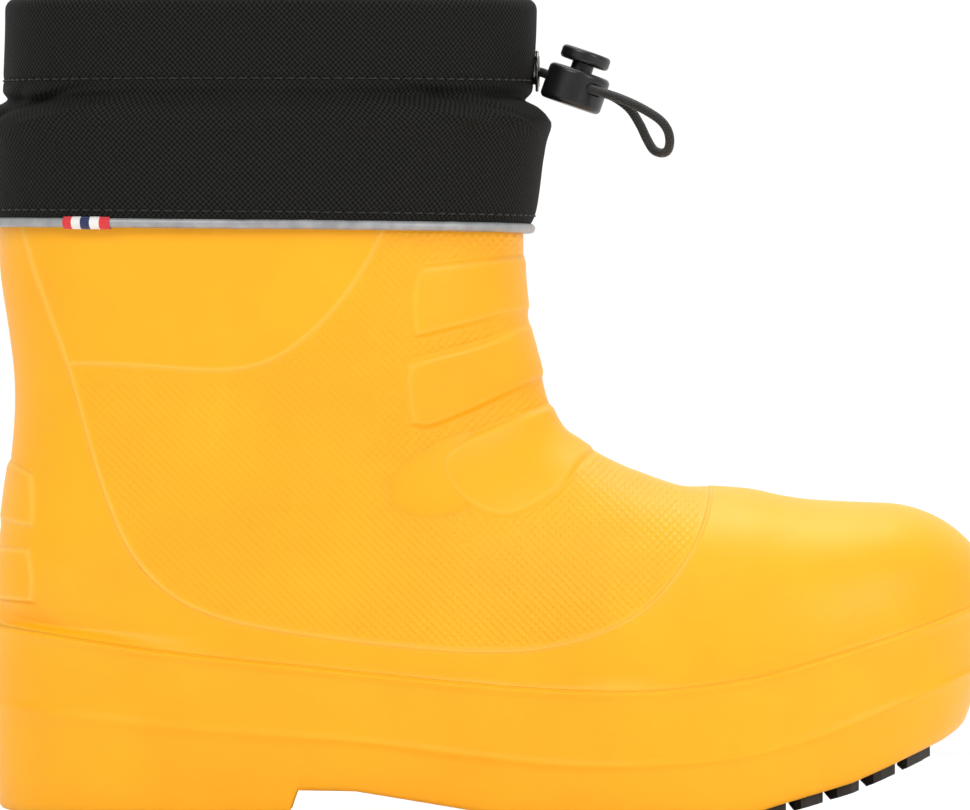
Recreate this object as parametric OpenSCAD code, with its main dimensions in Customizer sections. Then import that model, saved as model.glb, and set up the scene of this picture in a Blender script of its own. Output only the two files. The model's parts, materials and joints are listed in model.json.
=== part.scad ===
// Right deck boot: one moulded foam shell with rubber treads, a textile collar closed by
// an elastic drawcord with a cord lock, and a removable felt liner with a footbed.
// +X points to the toe, +Z up, -Y is the outer side. The origin is on the ground, below
// the middle of the boot.

/* [Shell] */
// Length of the boot from heel to toe
boot_len = 304; // [288:4:320]
// Thickness of the foam wall of the upper
wall_t = 4.5; // [3.5:0.5:5.5]
// Height of the shell's top edge, inside the collar
rim_z = 188; // [186:1:190]
// How far the sole's edge stands out from the upper
ridge_lip = 1.6; // [0.8:0.2:2.4]

/* [Outsole] */
// Thickness of the rubber plates above their lugs
tread_t = 1.6; // [1:0.2:2]
// Distance between lug rows
lug_pitch = 11; // [10:0.5:14]

/* [Collar] */
// Height of the collar's top edge above the ground
collar_top = 249.5; // [246:0.5:256]
// Thickness of the woven fabric
fabric_t = 1; // [0.6:0.2:1.2]
// Height of the drawcord tunnel below the top edge
tunnel_h = 25; // [22:1:28]
// Room for the cord between the tunnel's two layers
tunnel_gap = 5; // [4.8:0.1:5.2]
// Radius of the reflective piping
piping_r = 1.5; // [1.3:0.1:1.6]

/* [Drawcord and lock] */
// Diameter of the elastic cord
cord_d = 2.8; // [2.6:0.1:3]
// Outer radius of the eyelet's flange
eyelet_r = 6.3; // [6:0.1:7]
// Outer radius of the lock's barrel
barrel_r = 9.5; // [9:0.1:9.7]
// Height of the lock's barrel
barrel_h = 11; // [10.5:0.25:12]
// Radius of the lock's push button
button_r = 7.6; // [7:0.1:8.5]
// How far the push button travels
press = 2; // [1.5:0.1:2]

/* [Liner] */
// Thickness of the felt liner
felt_t = 4; // [3:0.5:4.5]
// Height of the liner's top edge
liner_top = 220; // [215:1:221]

/* [Hidden] */

k = boot_len / 304;
soft_gap = 0.4;

// ---- curves -------------------------------------------------------------------
// Smooth value at x of a curve through points [x, value] with rising x
function seg(p, x, i = 0) = i >= len(p) - 2 || x < p[i + 1][0] ? i : seg(p, x, i + 1);
function slope(p, i) =
    let (a = max(i - 1, 0), b = min(i + 1, len(p) - 1)) (p[b][1] - p[a][1]) / (p[b][0] - p[a][0]);
function curve(p, x) =
    let (v = min(max(x, p[0][0]), p[len(p) - 1][0]), i = seg(p, v), d = p[i + 1][0] - p[i][0],
        t = (v - p[i][0]) / d, t2 = t * t, t3 = t2 * t)
    p[i][1] * (2 * t3 - 3 * t2 + 1) + slope(p, i) * d * (t3 - 2 * t2 + t)
        + p[i + 1][1] * (3 * t2 - 2 * t3) + slope(p, i + 1) * d * (t3 - t2);
// Straight-line value at x of a polyline through points [x, value]
function line_at(p, x) = lookup(x, p);
// Quarter of a superellipse: how far along and how wide at angle t
function along(t, n) = 1 - pow(max(cos(t), 0), 2 / n);
function wide(t, n) = pow(max(sin(t), 0), 2 / n);
function unit(v) = v / norm(v);

// ---- side view and plan of the shell, at a length of 304 ----------------------
TOE_END = 152;
TOE_X = 70;
TOE_N = 2.5;
HEEL_X = -95;
HEEL_BACK = -151.5;
HEEL_N = 2.4;
HEEL_W = 41;
BALL_W = 56;
TOP_X = 118;
TOP_Z = 96.8;
TOP_N = 2.2;
PIVOT = [45, 150];
WAIST = [[-95, 41], [-60, 40.5], [-25, 42.5], [10, 49], [40, 54.6], [70, 56]];
MIDDLE = [[-152, 0], [-60, 0], [6, 0], [22, -0.9], [45, -2.2], [80, 0.4], [120, 6], [152, 9.5]];
FOOT_TOP = [[45, 106.8], [52, 104.2], [59, 102.2], [68, 102], [80, 101], [88, 99.2],
    [98, 97.8], [118, 96.8]];
INSTEP = [[45, 106.8], [36.8, 110.3], [27.7, 115.7], [23, 119], [18.6, 127], [16, 137],
    [14.1, 144.2], [12.6, 150]];
SHAFT_FRONT = [[150, 12.6], [165, 11], [177, 10.8], [192, 10.8]];
SHAFT_BACK = [[20, -151.5], [60, -151.5], [70, -150.8], [85, -148.3], [107, -145.4],
    [118, -142.8], [128, -142.6], [149, -145.3], [166, -147.8], [181, -148.6], [192, -148.8]];
SIDE_X = [[60, -95], [85, -87], [110, -78], [150, -68], [192, -69]];
SIDE_W = [[60, 41], [85, 42], [110, 43.5], [150, 46.5], [192, 48]];
RIDGE = [[-152, 60], [-102, 52.4], [-55, 47.3], [-3, 42.1], [26, 40.3], [50, 40.3], [78, 43.9],
    [97, 48.8], [130, 59.1], [152, 67.5]];
LOWER = [[-152, 37], [-129, 33.3], [-92, 29.4], [-37, 25.1], [-3, 20.9], [30, 18.2], [68, 20],
    [87, 23.6], [106, 29.4], [125, 37], [152, 48]];
BASE = [[-152, 9], [-147, 4.6], [-140, 3.2], [-60, 3.2], [-57.5, 10.5], [-40, 10.2],
    [-3, 4.2], [6, 3.2], [74, 3.2], [80, 4.1], [88.3, 6.7], [109, 12.7], [120, 17.4],
    [137, 25.2], [146, 30.4], [152, 35]];
function plan_w(x) =
    x > TOE_X ? BALL_W * pow(max(1 - pow((x - TOE_X) / (TOE_END - TOE_X), TOE_N), 0), 1 / TOE_N)
    : x < HEEL_X ? HEEL_W * pow(max(1 - pow((HEEL_X - x) / (HEEL_X - HEEL_BACK), HEEL_N), 0),
        1 / HEEL_N)
    : curve(WAIST, x);
function foot_top(x) =
    x > TOP_X ? let (z = curve(RIDGE, x))
        z + (TOP_Z - z) * pow(max(1 - pow((x - TOP_X) / (TOE_END - TOP_X), TOP_N), 0), 1 / TOP_N)
    : curve(FOOT_TOP, x);
// The instep as seen from the pivot in front of the ankle: distance at each angle
function seen(p) = [for (q = p) [atan2(PIVOT[0] - q[0], PIVOT[1] - q[1]), norm(PIVOT - q)]];
INSTEP_SEEN = seen(INSTEP);
function ray_end(p, a) = PIVOT - curve(p, a) * [sin(a), cos(a)];

// ---- the shell's outer rows ---------------------------------------------------
// A row is a cut through the boot: upright cuts along the foot, cuts fanned about the
// pivot over the ankle, and level cuts up the shaft. Each is [near, far].
ROW_COLS = 40;
TOE_ROWS = 13;
FOOT_X = [for (i = [0:TOE_ROWS]) TOE_X + (TOE_END - TOE_X) * pow(cos(3 + 87 * i / TOE_ROWS), 2 / TOE_N)];
MID_X = [66, 59, 52, 45, 36, 26, 16, 6, -4, -14, -25, -36, -47, -57.5, -60, -68, -77, -86];
HEEL_ROWS = 9;
BACK_X = [for (i = [0:HEEL_ROWS])
    HEEL_X + (HEEL_BACK - HEEL_X) * pow(sin(90 * i / HEEL_ROWS), 2 / HEEL_N)];
RIDGE_X = concat(FOOT_X, MID_X, BACK_X);
LAST_RIDGE = len(RIDGE_X) - 1;
BACK_Z = [66, 74, 83, 92, 101, 110, 119, 128, 138, 150, 160, 170, 180, rim_z];
function near_of(x, z) =
    x >= PIVOT[0] ? [x, foot_top(x)]
    : z >= PIVOT[1] ? [curve(SHAFT_FRONT, z), z]
    : ray_end(INSTEP_SEEN, atan2(PIVOT[0] - x, PIVOT[1] - z));
function up_edge(x) = curve(RIDGE, x) + 1.2;
OUTER_ROWS = concat(
    [for (x = RIDGE_X) [near_of(x, up_edge(x)), [x, up_edge(x)]]],
    [for (z = BACK_Z) let (x = curve(SHAFT_BACK, z)) [near_of(x, z), [x, z]]]);

// Where a cut from near to far passes the side line, the widest part of heel and shaft
function on_cut(c, x) = c[1][1] + (x - c[1][0]) * (c[0][1] - c[1][1]) / (c[0][0] - c[1][0]);
function side_at(c, z, i = 3) = i == 0 ? [curve(SIDE_X, z), z]
    : side_at(c, on_cut(c, curve(SIDE_X, z)), i - 1);
function behind(c, s, z, i = 3) =
    let (x = curve(SIDE_X, z) + (curve(SHAFT_BACK, z) - curve(SIDE_X, z)) * s)
    i == 0 ? [x, z] : behind(c, s, on_cut(c, x), i - 1);
// Half the arch of one cut: point at t, 0 on the middle line and 1 at the ridge or back
function arch_n(c) = c[1][0] > 45 ? 2.35 : 2.2;
function arch(c, t, inset) =
    let (xr = c[1][0], zr = c[1][1], quarter = xr >= curve(SIDE_X, zr),
        q = quarter ? c[1] : side_at(c, zr),
        w = (quarter ? plan_w(xr) : curve(SIDE_W, q[1])) - inset,
        sr = quarter ? 0 : min((curve(SIDE_X, zr) - xr)
            / (curve(SIDE_X, zr) - curve(SHAFT_BACK, zr)), 1),
        ar = asin(pow(sr, HEEL_N / 2)),
        lf = norm(q - c[0]) + w, lr = quarter ? 0 : (q[0] - xr) + w * (1 - cos(ar)),
        f = lf / (lf + lr), n = arch_n(c))
    t <= f || quarter
        ? let (a = 90 * t / f, p = c[0] + (q - c[0]) * along(a, n)) [p[0], w * wide(a, n), p[1]]
        : let (a = ar * (t - f) / (1 - f), p = behind(c, pow(sin(a), 2 / HEEL_N), zr))
            [p[0], (curve(SIDE_W, p[1]) - inset) * pow(max(cos(a), 0), 2 / HEEL_N), p[1]];
function placed(p, side) = [p[0], curve(MIDDLE, p[0]) + side * p[1], p[2]] * k;
function outer_row(c) = [for (j = [0:ROW_COLS])
    let (t = j / ROW_COLS * 2 - 1, p = arch(c, abs(t), ridge_lip)) placed(p, sign(t))];

// ---- the sole's edge, in rings below the upper --------------------------------
// Each ring is [share of ridge, share of lower line, share of base, inset, extra at the toe,
// share of the treads' recess]
EDGE = [[1, 0, 0, 0, 0, 0], [0.9, 0.1, 0, 0.1, 0, 0], [0.08, 0.92, 0, 1.1, 0.8, 0],
    [0, 1, 0, 0.6, 0.8, 0], [0, 0.88, 0.12, 1.4, 1.2, 0], [0, 0.16, 0.84, 2.2, 4.6, 0],
    [0, 0, 1, 3.6, 7, 0], [0, 0, 1, 4.4, 7.8, 1]];
EDGE_PLAN = concat(
    [for (x = RIDGE_X) [x, curve(MIDDLE, x) - plan_w(x)]],
    [for (i = [LAST_RIDGE - 1:-1:0])
        let (x = RIDGE_X[i]) [x, curve(MIDDLE, x) + plan_w(x)]]);
EDGE_N = len(EDGE_PLAN);
function outward(i) =
    let (a = EDGE_PLAN[(i + EDGE_N - 1) % EDGE_N], b = EDGE_PLAN[(i + 1) % EDGE_N], t = unit(b - a))
    [t[1], -t[0]];
function toe_share(x) = pow(max((x - 60) / 92, 0), 2);
function edge_ring(e) = [for (i = [0:EDGE_N - 1])
    let (p = EDGE_PLAN[i], q = p + outward(i) * (e[3] + e[4] * toe_share(p[0])))
    [q[0], q[1], e[0] * curve(RIDGE, p[0]) + e[1] * curve(LOWER, p[0])
        + e[2] * line_at(BASE, q[0]) + e[5] * tread_t] * k];

// ---- the space inside: closed cuts from the toe to the top --------------------
HOLLOW_TOP = [[45, 101.5], [60, 97], [90, 93.5], [118, 91], [132, 86], [143, 72]];
HOLLOW_FLOOR = [[45, 17.5], [70, 18], [100, 22], [125, 30], [143, 46]];
HOLLOW_W = [[45, 46], [70, 47.5], [100, 41], [120, 30.5], [134, 18], [143, 5]];
HOLLOW_BACK = seen([[45, 17.5], [0, 19], [-50, 22], [-100, 24], [-126, 28], [-139, 40],
    [-144.5, 60], [-142.2, 90], [-138.4, 118], [-140.8, 150]]);
FAN_W = [[0, 46], [20, 40], [38, 35.5], [60, 36], [75, 38], [90, 41.5]];
HOLLOW_X = [143, 140, 134, 125, 114, 102, 90, 78, 66, 55];
FAN_A = [0, 8, 16, 24, 31, 37, 43, 48, 52, 56, 60, 64, 69, 75, 82];
HOLLOW_Z = [150, 162, 175, rim_z];
RIM_W = [[150, 41.5], [175, 43], [192, 44]];
// [near, far, half width, exponent of the near half, exponent of the far half]
function hollow_cuts(shrink, zs) = concat(
    [for (x = HOLLOW_X) [[x, curve(HOLLOW_TOP, x) - shrink], [x, curve(HOLLOW_FLOOR, x) + shrink],
        max(curve(HOLLOW_W, x) - shrink, 1.5), 2.4, 4.5]],
    [for (a = FAN_A) let (s = shrink * [sin(a), cos(a)])
        [ray_end(INSTEP_SEEN, a) - s - (wall_t + 0.6) * [sin(a), cos(a)],
        ray_end(HOLLOW_BACK, a) + s, curve(FAN_W, a) - shrink, 2.3, a < 52 ? 4.5 - a / 26 : 2.4]],
    [for (z = zs) [[curve(SHAFT_FRONT, z) - wall_t - shrink, z],
        [curve(SHAFT_BACK, z) + wall_t + shrink, z], curve(RIM_W, z) - shrink, 2.2, 2.3]]);
function oval_pt(c, t) =
    let (m = (c[0] + c[1]) / 2, a = abs(t) * 180, near = a <= 90, n = near ? c[3] : c[4],
        e = near ? c[0] : c[1], b = near ? a : 180 - a, p = e + (m - e) * along(b, n))
    placed([p[0], c[2] * wide(b, n), p[1]], sign(t));
function oval(c, cols) = [for (j = [0:cols - 1]) oval_pt(c, j / cols * 2 - 1)];

// ---- building meshes ----------------------------------------------------------
function quad(a, b, c, d) = [[a, b, c], [a, c, d]];
function flat(v) = [for (a = v) for (b = a) b];
// Rings of equal length joined one after another, with end faces or closed on themselves
module loft(rings, closed = false) {
    n = len(rings[0]);
    m = len(rings);
    faces = flat([for (i = [0:m - (closed ? 1 : 2)]) for (j = [0:n - 1])
        quad(i * n + j, i * n + (j + 1) % n, (i + 1) % m * n + (j + 1) % n, (i + 1) % m * n + j)]);
    ends = closed ? [] : [[for (j = [n - 1:-1:0]) j], [for (j = [0:n - 1]) (m - 1) * n + j]];
    polyhedron(flat(rings), concat(faces, ends), convexity = 8);
}

module eva_shell() color([1, 0.69, 0.12]) {
    cols = ROW_COLS + 1;
    rows = [for (c = OUTER_ROWS) outer_row(c)];
    edges = [for (e = EDGE) edge_ring(e)];
    inner = [for (c = hollow_cuts(0, HOLLOW_Z)) oval(c, ROW_COLS)];
    n_out = len(rows);
    n_in = len(inner);
    edge0 = n_out * cols;
    in0 = edge0 + len(EDGE) * EDGE_N;
    // Past the heel a row closes on itself, so its last column is its first
    up = function (i, j) i * cols + (i >= LAST_RIDGE ? j % ROW_COLS : j);
    foot = function (q) q <= LAST_RIDGE ? up(q, 0) : up(2 * LAST_RIDGE - q, ROW_COLS);
    at = function (r, q) r < 0 ? foot(q % EDGE_N) : edge0 + r * EDGE_N + q % EDGE_N;
    hole = function (i, j) in0 + i * ROW_COLS + j % ROW_COLS;
    last = len(EDGE) - 1;
    faces = concat(
        flat([for (i = [0:n_out - 2]) for (j = [0:ROW_COLS - 1])
            quad(up(i, j), up(i, j + 1), up(i + 1, j + 1), up(i + 1, j))]),
        [[for (j = [ROW_COLS:-1:0]) up(0, j)]],
        flat([for (r = [-1:last - 1]) for (q = [0:EDGE_N - 1])
            quad(at(r, q), at(r, q + 1), at(r + 1, q + 1), at(r + 1, q))]),
        flat([for (q = [0:LAST_RIDGE - 2]) quad(at(last, q), at(last, q + 1),
            at(last, 2 * LAST_RIDGE - q - 1), at(last, 2 * LAST_RIDGE - q))]),
        [[at(last, LAST_RIDGE - 1), at(last, LAST_RIDGE), at(last, LAST_RIDGE + 1)]],
        flat([for (j = [0:ROW_COLS - 1]) quad(up(n_out - 1, j), up(n_out - 1, j + 1),
            hole(n_in - 1, j + 1), hole(n_in - 1, j))]),
        flat([for (i = [0:n_in - 2]) for (j = [0:ROW_COLS - 1])
            quad(hole(i, j), hole(i + 1, j), hole(i + 1, j + 1), hole(i, j + 1))]),
        [[for (j = [0:ROW_COLS - 1]) hole(0, j)]]);
    used = concat(flat(rows), flat(edges), flat(inner));
    polyhedron(used, [for (f = faces) [for (i = [len(f) - 1:-1:0]) f[i]]], convexity = 10);
}
eva_shell();

// ---- rubber treads, set in the recess under the sole, with lugs that stand out ----
SOLE_GAP = 0.1;
SOLE_Z = 3.2;
LUG_R = 4.4;
FRONT_X = [for (x = [14:4:138]) x];
HEEL_XS = [for (x = [-143:4:-63]) x];
function sole_line(xs, drop) = [for (x = xs) [x, max(line_at(BASE, x) - drop, 0)]];
module tread_slab(xs, top, bottom) rotate([90, 0, 0]) linear_extrude(140, center = true)
    polygon(concat(sole_line(xs, top), [for (i = [len(xs) - 1:-1:0]) sole_line(xs, bottom)[i]]));
module tread_plan(outline) linear_extrude(60) polygon(concat(
    [for (p = outline) [p[0], curve(MIDDLE, p[0]) - p[1]]],
    [for (i = [len(outline) - 1:-1:0]) let (p = outline[i]) [p[0], curve(MIDDLE, p[0]) + p[1]]]));
module lug_grid(x0, x1, half_w) for (i = [0:floor((x1 - x0) / lug_pitch)])
    for (j = [-ceil(half_w / lug_pitch):ceil(half_w / lug_pitch)])
        translate([x0 + i * lug_pitch, (j + i % 2 / 2) * lug_pitch * 1.06, 0])
            cylinder(h = 60, r = LUG_R, $fn = 6);
module tread(xs, outline) color([0.17, 0.15, 0.13]) scale(k) {
    intersection() {
        tread_slab(xs, SOLE_GAP - tread_t, 0);
        tread_plan(outline);
    }
    intersection() {
        tread_slab(xs, -tread_t / 2, SOLE_Z);
        tread_plan(outline);
        lug_grid(xs[0] + 5, xs[len(xs) - 1], 46);
    }
}
module outsole_forefoot() tread(FRONT_X, [for (x = FRONT_X)
    [x, plan_w(x + 12 * pow(x / 140, 2)) - 7]]);
module outsole_heel() tread(HEEL_XS, [for (x = HEEL_XS) [x, plan_w(min(x, -95) - 5.5) - 6]]);

// ---- textile collar: level loops about the shaft ---------------------------------
LOOP_COLS = 56;
CUFF_FRONT = [[182, 13.3], [188, 14.8], [198, 16.2], [211.5, 17.4], [216, 15.4], [219.5, 13.5],
    [228, 13.9], [240, 14.5], [256, 14.8]];
CUFF_BACK = [[182, -151.2], [190, -151.6], [211.5, -151.6], [217, -149.5], [223, -147],
    [256, -146.4]];
CUFF_W = [[182, 49.2], [190, 51], [205, 52.5], [212, 52.5], [218, 50], [223, 49], [256, 49.5]];
// Point of the loop at height z and angle a, moved inwards by d; 0 is the front
function loop_xy(front, back, w, a) =
    let (mid = -69, c = cos(a), s = sin(a), n = c > 0 ? 2.2 : HEEL_N)
    [mid + (c > 0 ? front - mid : back - mid) * pow(abs(c), 2 / n), sign(s) * w * pow(abs(s), 2 / n)];
function cuff_pt(z, a, d) =
    let (p = loop_xy(curve(CUFF_FRONT, z) - d, curve(CUFF_BACK, z) + d, curve(CUFF_W, z) - d, a))
    [p[0], p[1], z] * k;
// A wall section at angle a through the heights zs, between two depths in the collar
function wall_ring(zs, a, d0, d1) = concat([for (z = zs) cuff_pt(z, a, d0)],
    [for (i = [len(zs) - 1:-1:0]) cuff_pt(zs[i], a, d1)]);
module collar_wall(zs, d0, d1) loft(
    [for (i = [0:LOOP_COLS - 1]) wall_ring(zs, i * 360 / LOOP_COLS, d0, d1)], true);
EYELET = [14.1, 0, 227.5] * k;
TUNNEL_Z = collar_top - tunnel_h;
CUFF_Z = [183.2, 185.5, 190, 198, 206, 211.5, 214.5, 217, 219.5, 223, 228, 234, 241, collar_top];
EYELET_CUT_R = 4.3;
module at_eyelet() translate(EYELET) rotate([0, 90, 0]) children();
module collar_cuff() color([0.11, 0.11, 0.11]) difference() {
    collar_wall(CUFF_Z, 0, fabric_t);
    at_eyelet() cylinder(h = 8, r = EYELET_CUT_R, center = true, $fn = 32);
}
module tunnel_facing() color([0.12, 0.12, 0.12])
    collar_wall([TUNNEL_Z + 0.4, TUNNEL_Z + 8, TUNNEL_Z + 16, collar_top],
        fabric_t + tunnel_gap, 2 * fabric_t + tunnel_gap);
module collar_lining() color([0.16, 0.16, 0.17])
    collar_wall([rim_z + 2, 197, 205, 211.5, 214, 216], fabric_t + 1.6, 2 * fabric_t + 1.6);
TAPE_GAP = 0.2;
TAPE_T = 0.6;
module back_seam_tape() color([0.1, 0.1, 0.1]) loft([for (a = [173:2:187])
    wall_ring([rim_z + 4, 200, 206, 211.5, 214, 217], a, fabric_t + TAPE_GAP, fabric_t + TAPE_GAP + TAPE_T)]);

// Straight stitches around the collar, over the tunnel's seam and above the piping
STITCH = [2.6, 0.5, 0.5];
STITCHES = 120;
module collar_stitching() color([0.07, 0.07, 0.07]) for (z = [TUNNEL_Z, 184.8])
    for (i = [0:STITCHES - 1]) let (a = (i + 0.5) * 360 / STITCHES, p = cuff_pt(z, a, -0.36 / k),
        q = cuff_pt(z, a + 0.4, -0.36 / k), d = q - p)
        // The eyelet's flange takes the place of the middle stitches
        if (norm(p - EYELET) > eyelet_r + 2)
            translate(p) rotate([0, 0, atan2(d[1], d[0])]) cube(STITCH, center = true);

// ---- piping with its core, and the striped tab folded over it ----------------------
PIPING_Z = 181;
PIPING_GAP = 0.35;
function piping_frame(a) =
    let (d = piping_r + PIPING_GAP,
        f = function (b) loop_xy(curve(SHAFT_FRONT, PIPING_Z) + d, curve(SHAFT_BACK, PIPING_Z) - d,
            curve(SIDE_W, PIPING_Z) - ridge_lip + d, b),
        t = unit(f(a + 0.5) - f(a - 0.5))) [f(a), [t[1], -t[0]]];
function piping_pt(a, r, b) = let (f = piping_frame(a))
    [f[0][0] + f[1][0] * r * cos(b), f[0][1] + f[1][1] * r * cos(b), PIPING_Z + r * sin(b)] * k;
module bead(r, sides) loft([for (i = [0:LOOP_COLS - 1])
    [for (j = [0:sides - 1]) piping_pt((i + 0.5) * 360 / LOOP_COLS, r, j * 360 / sides)]], true);
CORE_R = 0.8;
module piping_core() color([0.85, 0.85, 0.85]) bead(CORE_R, 6);
module piping_cover() color([0.62, 0.62, 0.62]) difference() {
    bead(piping_r, 10);
    bead(CORE_R + 0.1, 6);
}
TAB_A = [-132, -119];
TAB_T = 0.4;
module striped_tab() color([0.85, 0.15, 0.18]) loft([for (i = [0:6])
    let (a = TAB_A[0] + (TAB_A[1] - TAB_A[0]) * i / 6) concat(
        [for (b = [-110:20:110]) piping_pt(a, piping_r + 0.08 + TAB_T, b)],
        [for (b = [110:-20:-110]) piping_pt(a, piping_r + 0.08, b)])]);

// ---- eyelet, washer, cord and lock -------------------------------------------------
EYELET_HOLE = 3.6;
module eyelet() color([0.72, 0.72, 0.7]) at_eyelet() rotate_extrude($fn = 48) difference() {
    union() {
        translate([EYELET_HOLE, -2.6]) square([0.5, 3]);
        translate([EYELET_HOLE, 0.1]) square([eyelet_r - EYELET_HOLE - 0.4, 0.9]);
        translate([eyelet_r - 0.5, 0.6]) circle(0.5, $fn = 16);
        translate([EYELET_HOLE + 0.7, 0.7]) circle(0.7, $fn = 16);
    }
    translate([-10, -5]) square([EYELET_HOLE + 10, 10]);
}
module eyelet_washer() color([0.7, 0.7, 0.68]) at_eyelet() translate([0, 0, -3.1])
    rotate_extrude($fn = 48) translate([EYELET_HOLE + 0.55, 0]) square([2, 0.5]);

// Rings of a round tube about a route, and the ring's plane at each of its points
function heading(r, i) = unit(r[min(i + 1, len(r) - 1)] - r[max(i - 1, 0)]);
function tube_ring(r, i, d, sides, up) = let (t = heading(r, i), u = unit(cross(t, up)), v = cross(t, u))
    [for (j = [0:sides - 1]) r[i] + d / 2 * (cos(j * 360 / sides) * u - sin(j * 360 / sides) * v)];
module tube(r, d, sides = 8, up = [0, 0, 1])
    loft([for (i = [0:len(r) - 1]) tube_ring(r, i, d, sides, up)]);
// A smooth route through hand-set points
function hermite(p, i, t) = let (n = len(p) - 1, a = p[max(i - 1, 0)], b = p[i], c = p[i + 1],
    d = p[min(i + 2, n)], m0 = (c - a) / 2, m1 = (d - b) / 2, t2 = t * t, t3 = t2 * t)
    b * (2 * t3 - 3 * t2 + 1) + m0 * (t3 - 2 * t2 + t) + c * (3 * t2 - 2 * t3) + m1 * (t3 - t2);
function smooth(p, steps) = concat([for (i = [0:len(p) - 2]) for (s = [0:steps - 1])
    hermite(p, i, s / steps)], [p[len(p) - 1]]);
// The cord outside the collar, from the eyelet through the lock, round its loop and back
LOOP_ROUTE = [[-2, -1.6, 0], [0, -1.6, 0], [2, -1.8, -0.4], [3.8, -2.7, -1.1], [5.5, -4.2, -1.8],
    [11.2, -11.5, -3.8], [17, -18.8, -5.8], [21.2, -24.1, -7.2], [25.6, -29.2, -8.8],
    [31.4, -33.4, -11.5], [37, -35.5, -15], [39.6, -35.8, -18.2], [40.4, -34.6, -21.6],
    [39.8, -32, -24.4], [38, -29.2, -25.2], [35.6, -27.4, -24.2], [33.6, -26.6, -21],
    [31.4, -26, -16.4], [28.2, -24.8, -11.6], [23.6, -22, -8.2], [19.4, -16.8, -6.6],
    [13.6, -9.5, -4.6], [7.8, -2.2, -2.6], [5.6, 0, -1.7], [3.6, 1.2, -0.9], [1.6, 1.6, -0.2],
    [0, 1.6, 0], [-2, 1.6, 0]];
module drawcord_loop() color([0.1, 0.1, 0.09]) translate(EYELET) tube(smooth(LOOP_ROUTE, 2), cord_d);
// The cord in the tunnel: both ends turn out to the eyelet
TUNNEL_DEPTH = fabric_t + tunnel_gap - cord_d / 2 - 0.2;
TURN_R = 2.3;
module drawcord_inner() color([0.1, 0.1, 0.09]) {
    z = EYELET[2] / k;
    x = curve(CUFF_FRONT, z) - TUNNEL_DEPTH;
    start = [for (a = [0:30:90]) [x + TURN_R * (1 - sin(a)), 1.6 + TURN_R * (1 - cos(a)), z] * k];
    lead = [EYELET[0] - 2, 1.6 * k, z * k];
    half = concat([lead], start, [for (a = [12:6:180]) cuff_pt(z, a, TUNNEL_DEPTH)]);
    other = [for (i = [len(half) - 2:-1:0]) [half[i][0], -half[i][1], half[i][2]]];
    tube(concat(half, other), cord_d);
}
// The lock sits on the cord: its channel runs along X and its button faces up here
LOCK_AT = [12.4, -10.5, -4.2];
LOCK_TILT = 19;
LOCK_TURN = -50;
STRANDS = 1.6;
CHANNEL_R = cord_d / 2 + 0.35;
BARREL_LOW = -6.7;
BARREL_TOP = BARREL_LOW + barrel_h;
FLOOR_T = 1;
STEM_R = 5;
STEM_GAP = 0.05;
STEM_LOW = -2.5;
BUTTON_LOW = BARREL_TOP + press + 0.3;
BUTTON_H = 4;
module at_lock() translate(EYELET + LOCK_AT) rotate([0, LOCK_TILT, 0]) rotate([0, 0, LOCK_TURN])
    children();
module channel(rise) {
    for (y = [-STRANDS, STRANDS]) for (z = [0, rise]) translate([0, y, z]) rotate([0, 90, 0])
        cylinder(h = 24, r = CHANNEL_R, center = true, $fn = 32);
    translate([0, 0, rise / 2]) cube([24, 2 * STRANDS, 2 * CHANNEL_R + rise], center = true);
    if (rise > 0) translate([0, 0, rise / 2])
        cube([24, 2 * (STRANDS + CHANNEL_R), rise], center = true);
}
module round_disc(r, h, edge) rotate_extrude($fn = 64) {
    square([r - edge, h]);
    translate([0, edge]) square([r, h - 2 * edge]);
    for (z = [edge, h - edge]) translate([r - edge, z]) circle(edge, $fn = 24);
}
module lock_barrel() color([0.09, 0.09, 0.09]) at_lock() difference() {
    translate([0, 0, BARREL_LOW]) round_disc(barrel_r, barrel_h, 1.5);
    translate([0, 0, BARREL_LOW + FLOOR_T]) cylinder(h = barrel_h, r = STEM_R + STEM_GAP, $fn = 64);
    channel(0);
}
module lock_plunger() color([0.08, 0.08, 0.08]) at_lock() {
    difference() {
        translate([0, 0, STEM_LOW]) cylinder(h = BARREL_TOP - STEM_LOW, r = STEM_R, $fn = 64);
        channel(press);
    }
    translate([0, 0, BARREL_TOP - 0.1]) cylinder(h = BUTTON_LOW - BARREL_TOP + 0.3, r = 3.4, $fn = 48);
    translate([0, 0, BUTTON_LOW]) round_disc(button_r, BUTTON_H, 1.2);
}
SPRING_R = 3.4;
WIRE_D = 0.5;
module lock_spring() color([0.75, 0.75, 0.76]) at_lock() {
    low = BARREL_LOW + FLOOR_T + WIRE_D / 2 + 0.05;
    rise = STEM_LOW - low - WIRE_D / 2 - 0.05;
    tube([for (a = [0:24:1080]) [SPRING_R * cos(a), SPRING_R * sin(a), low + rise * a / 1080]],
        WIRE_D, 6);
}

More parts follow.
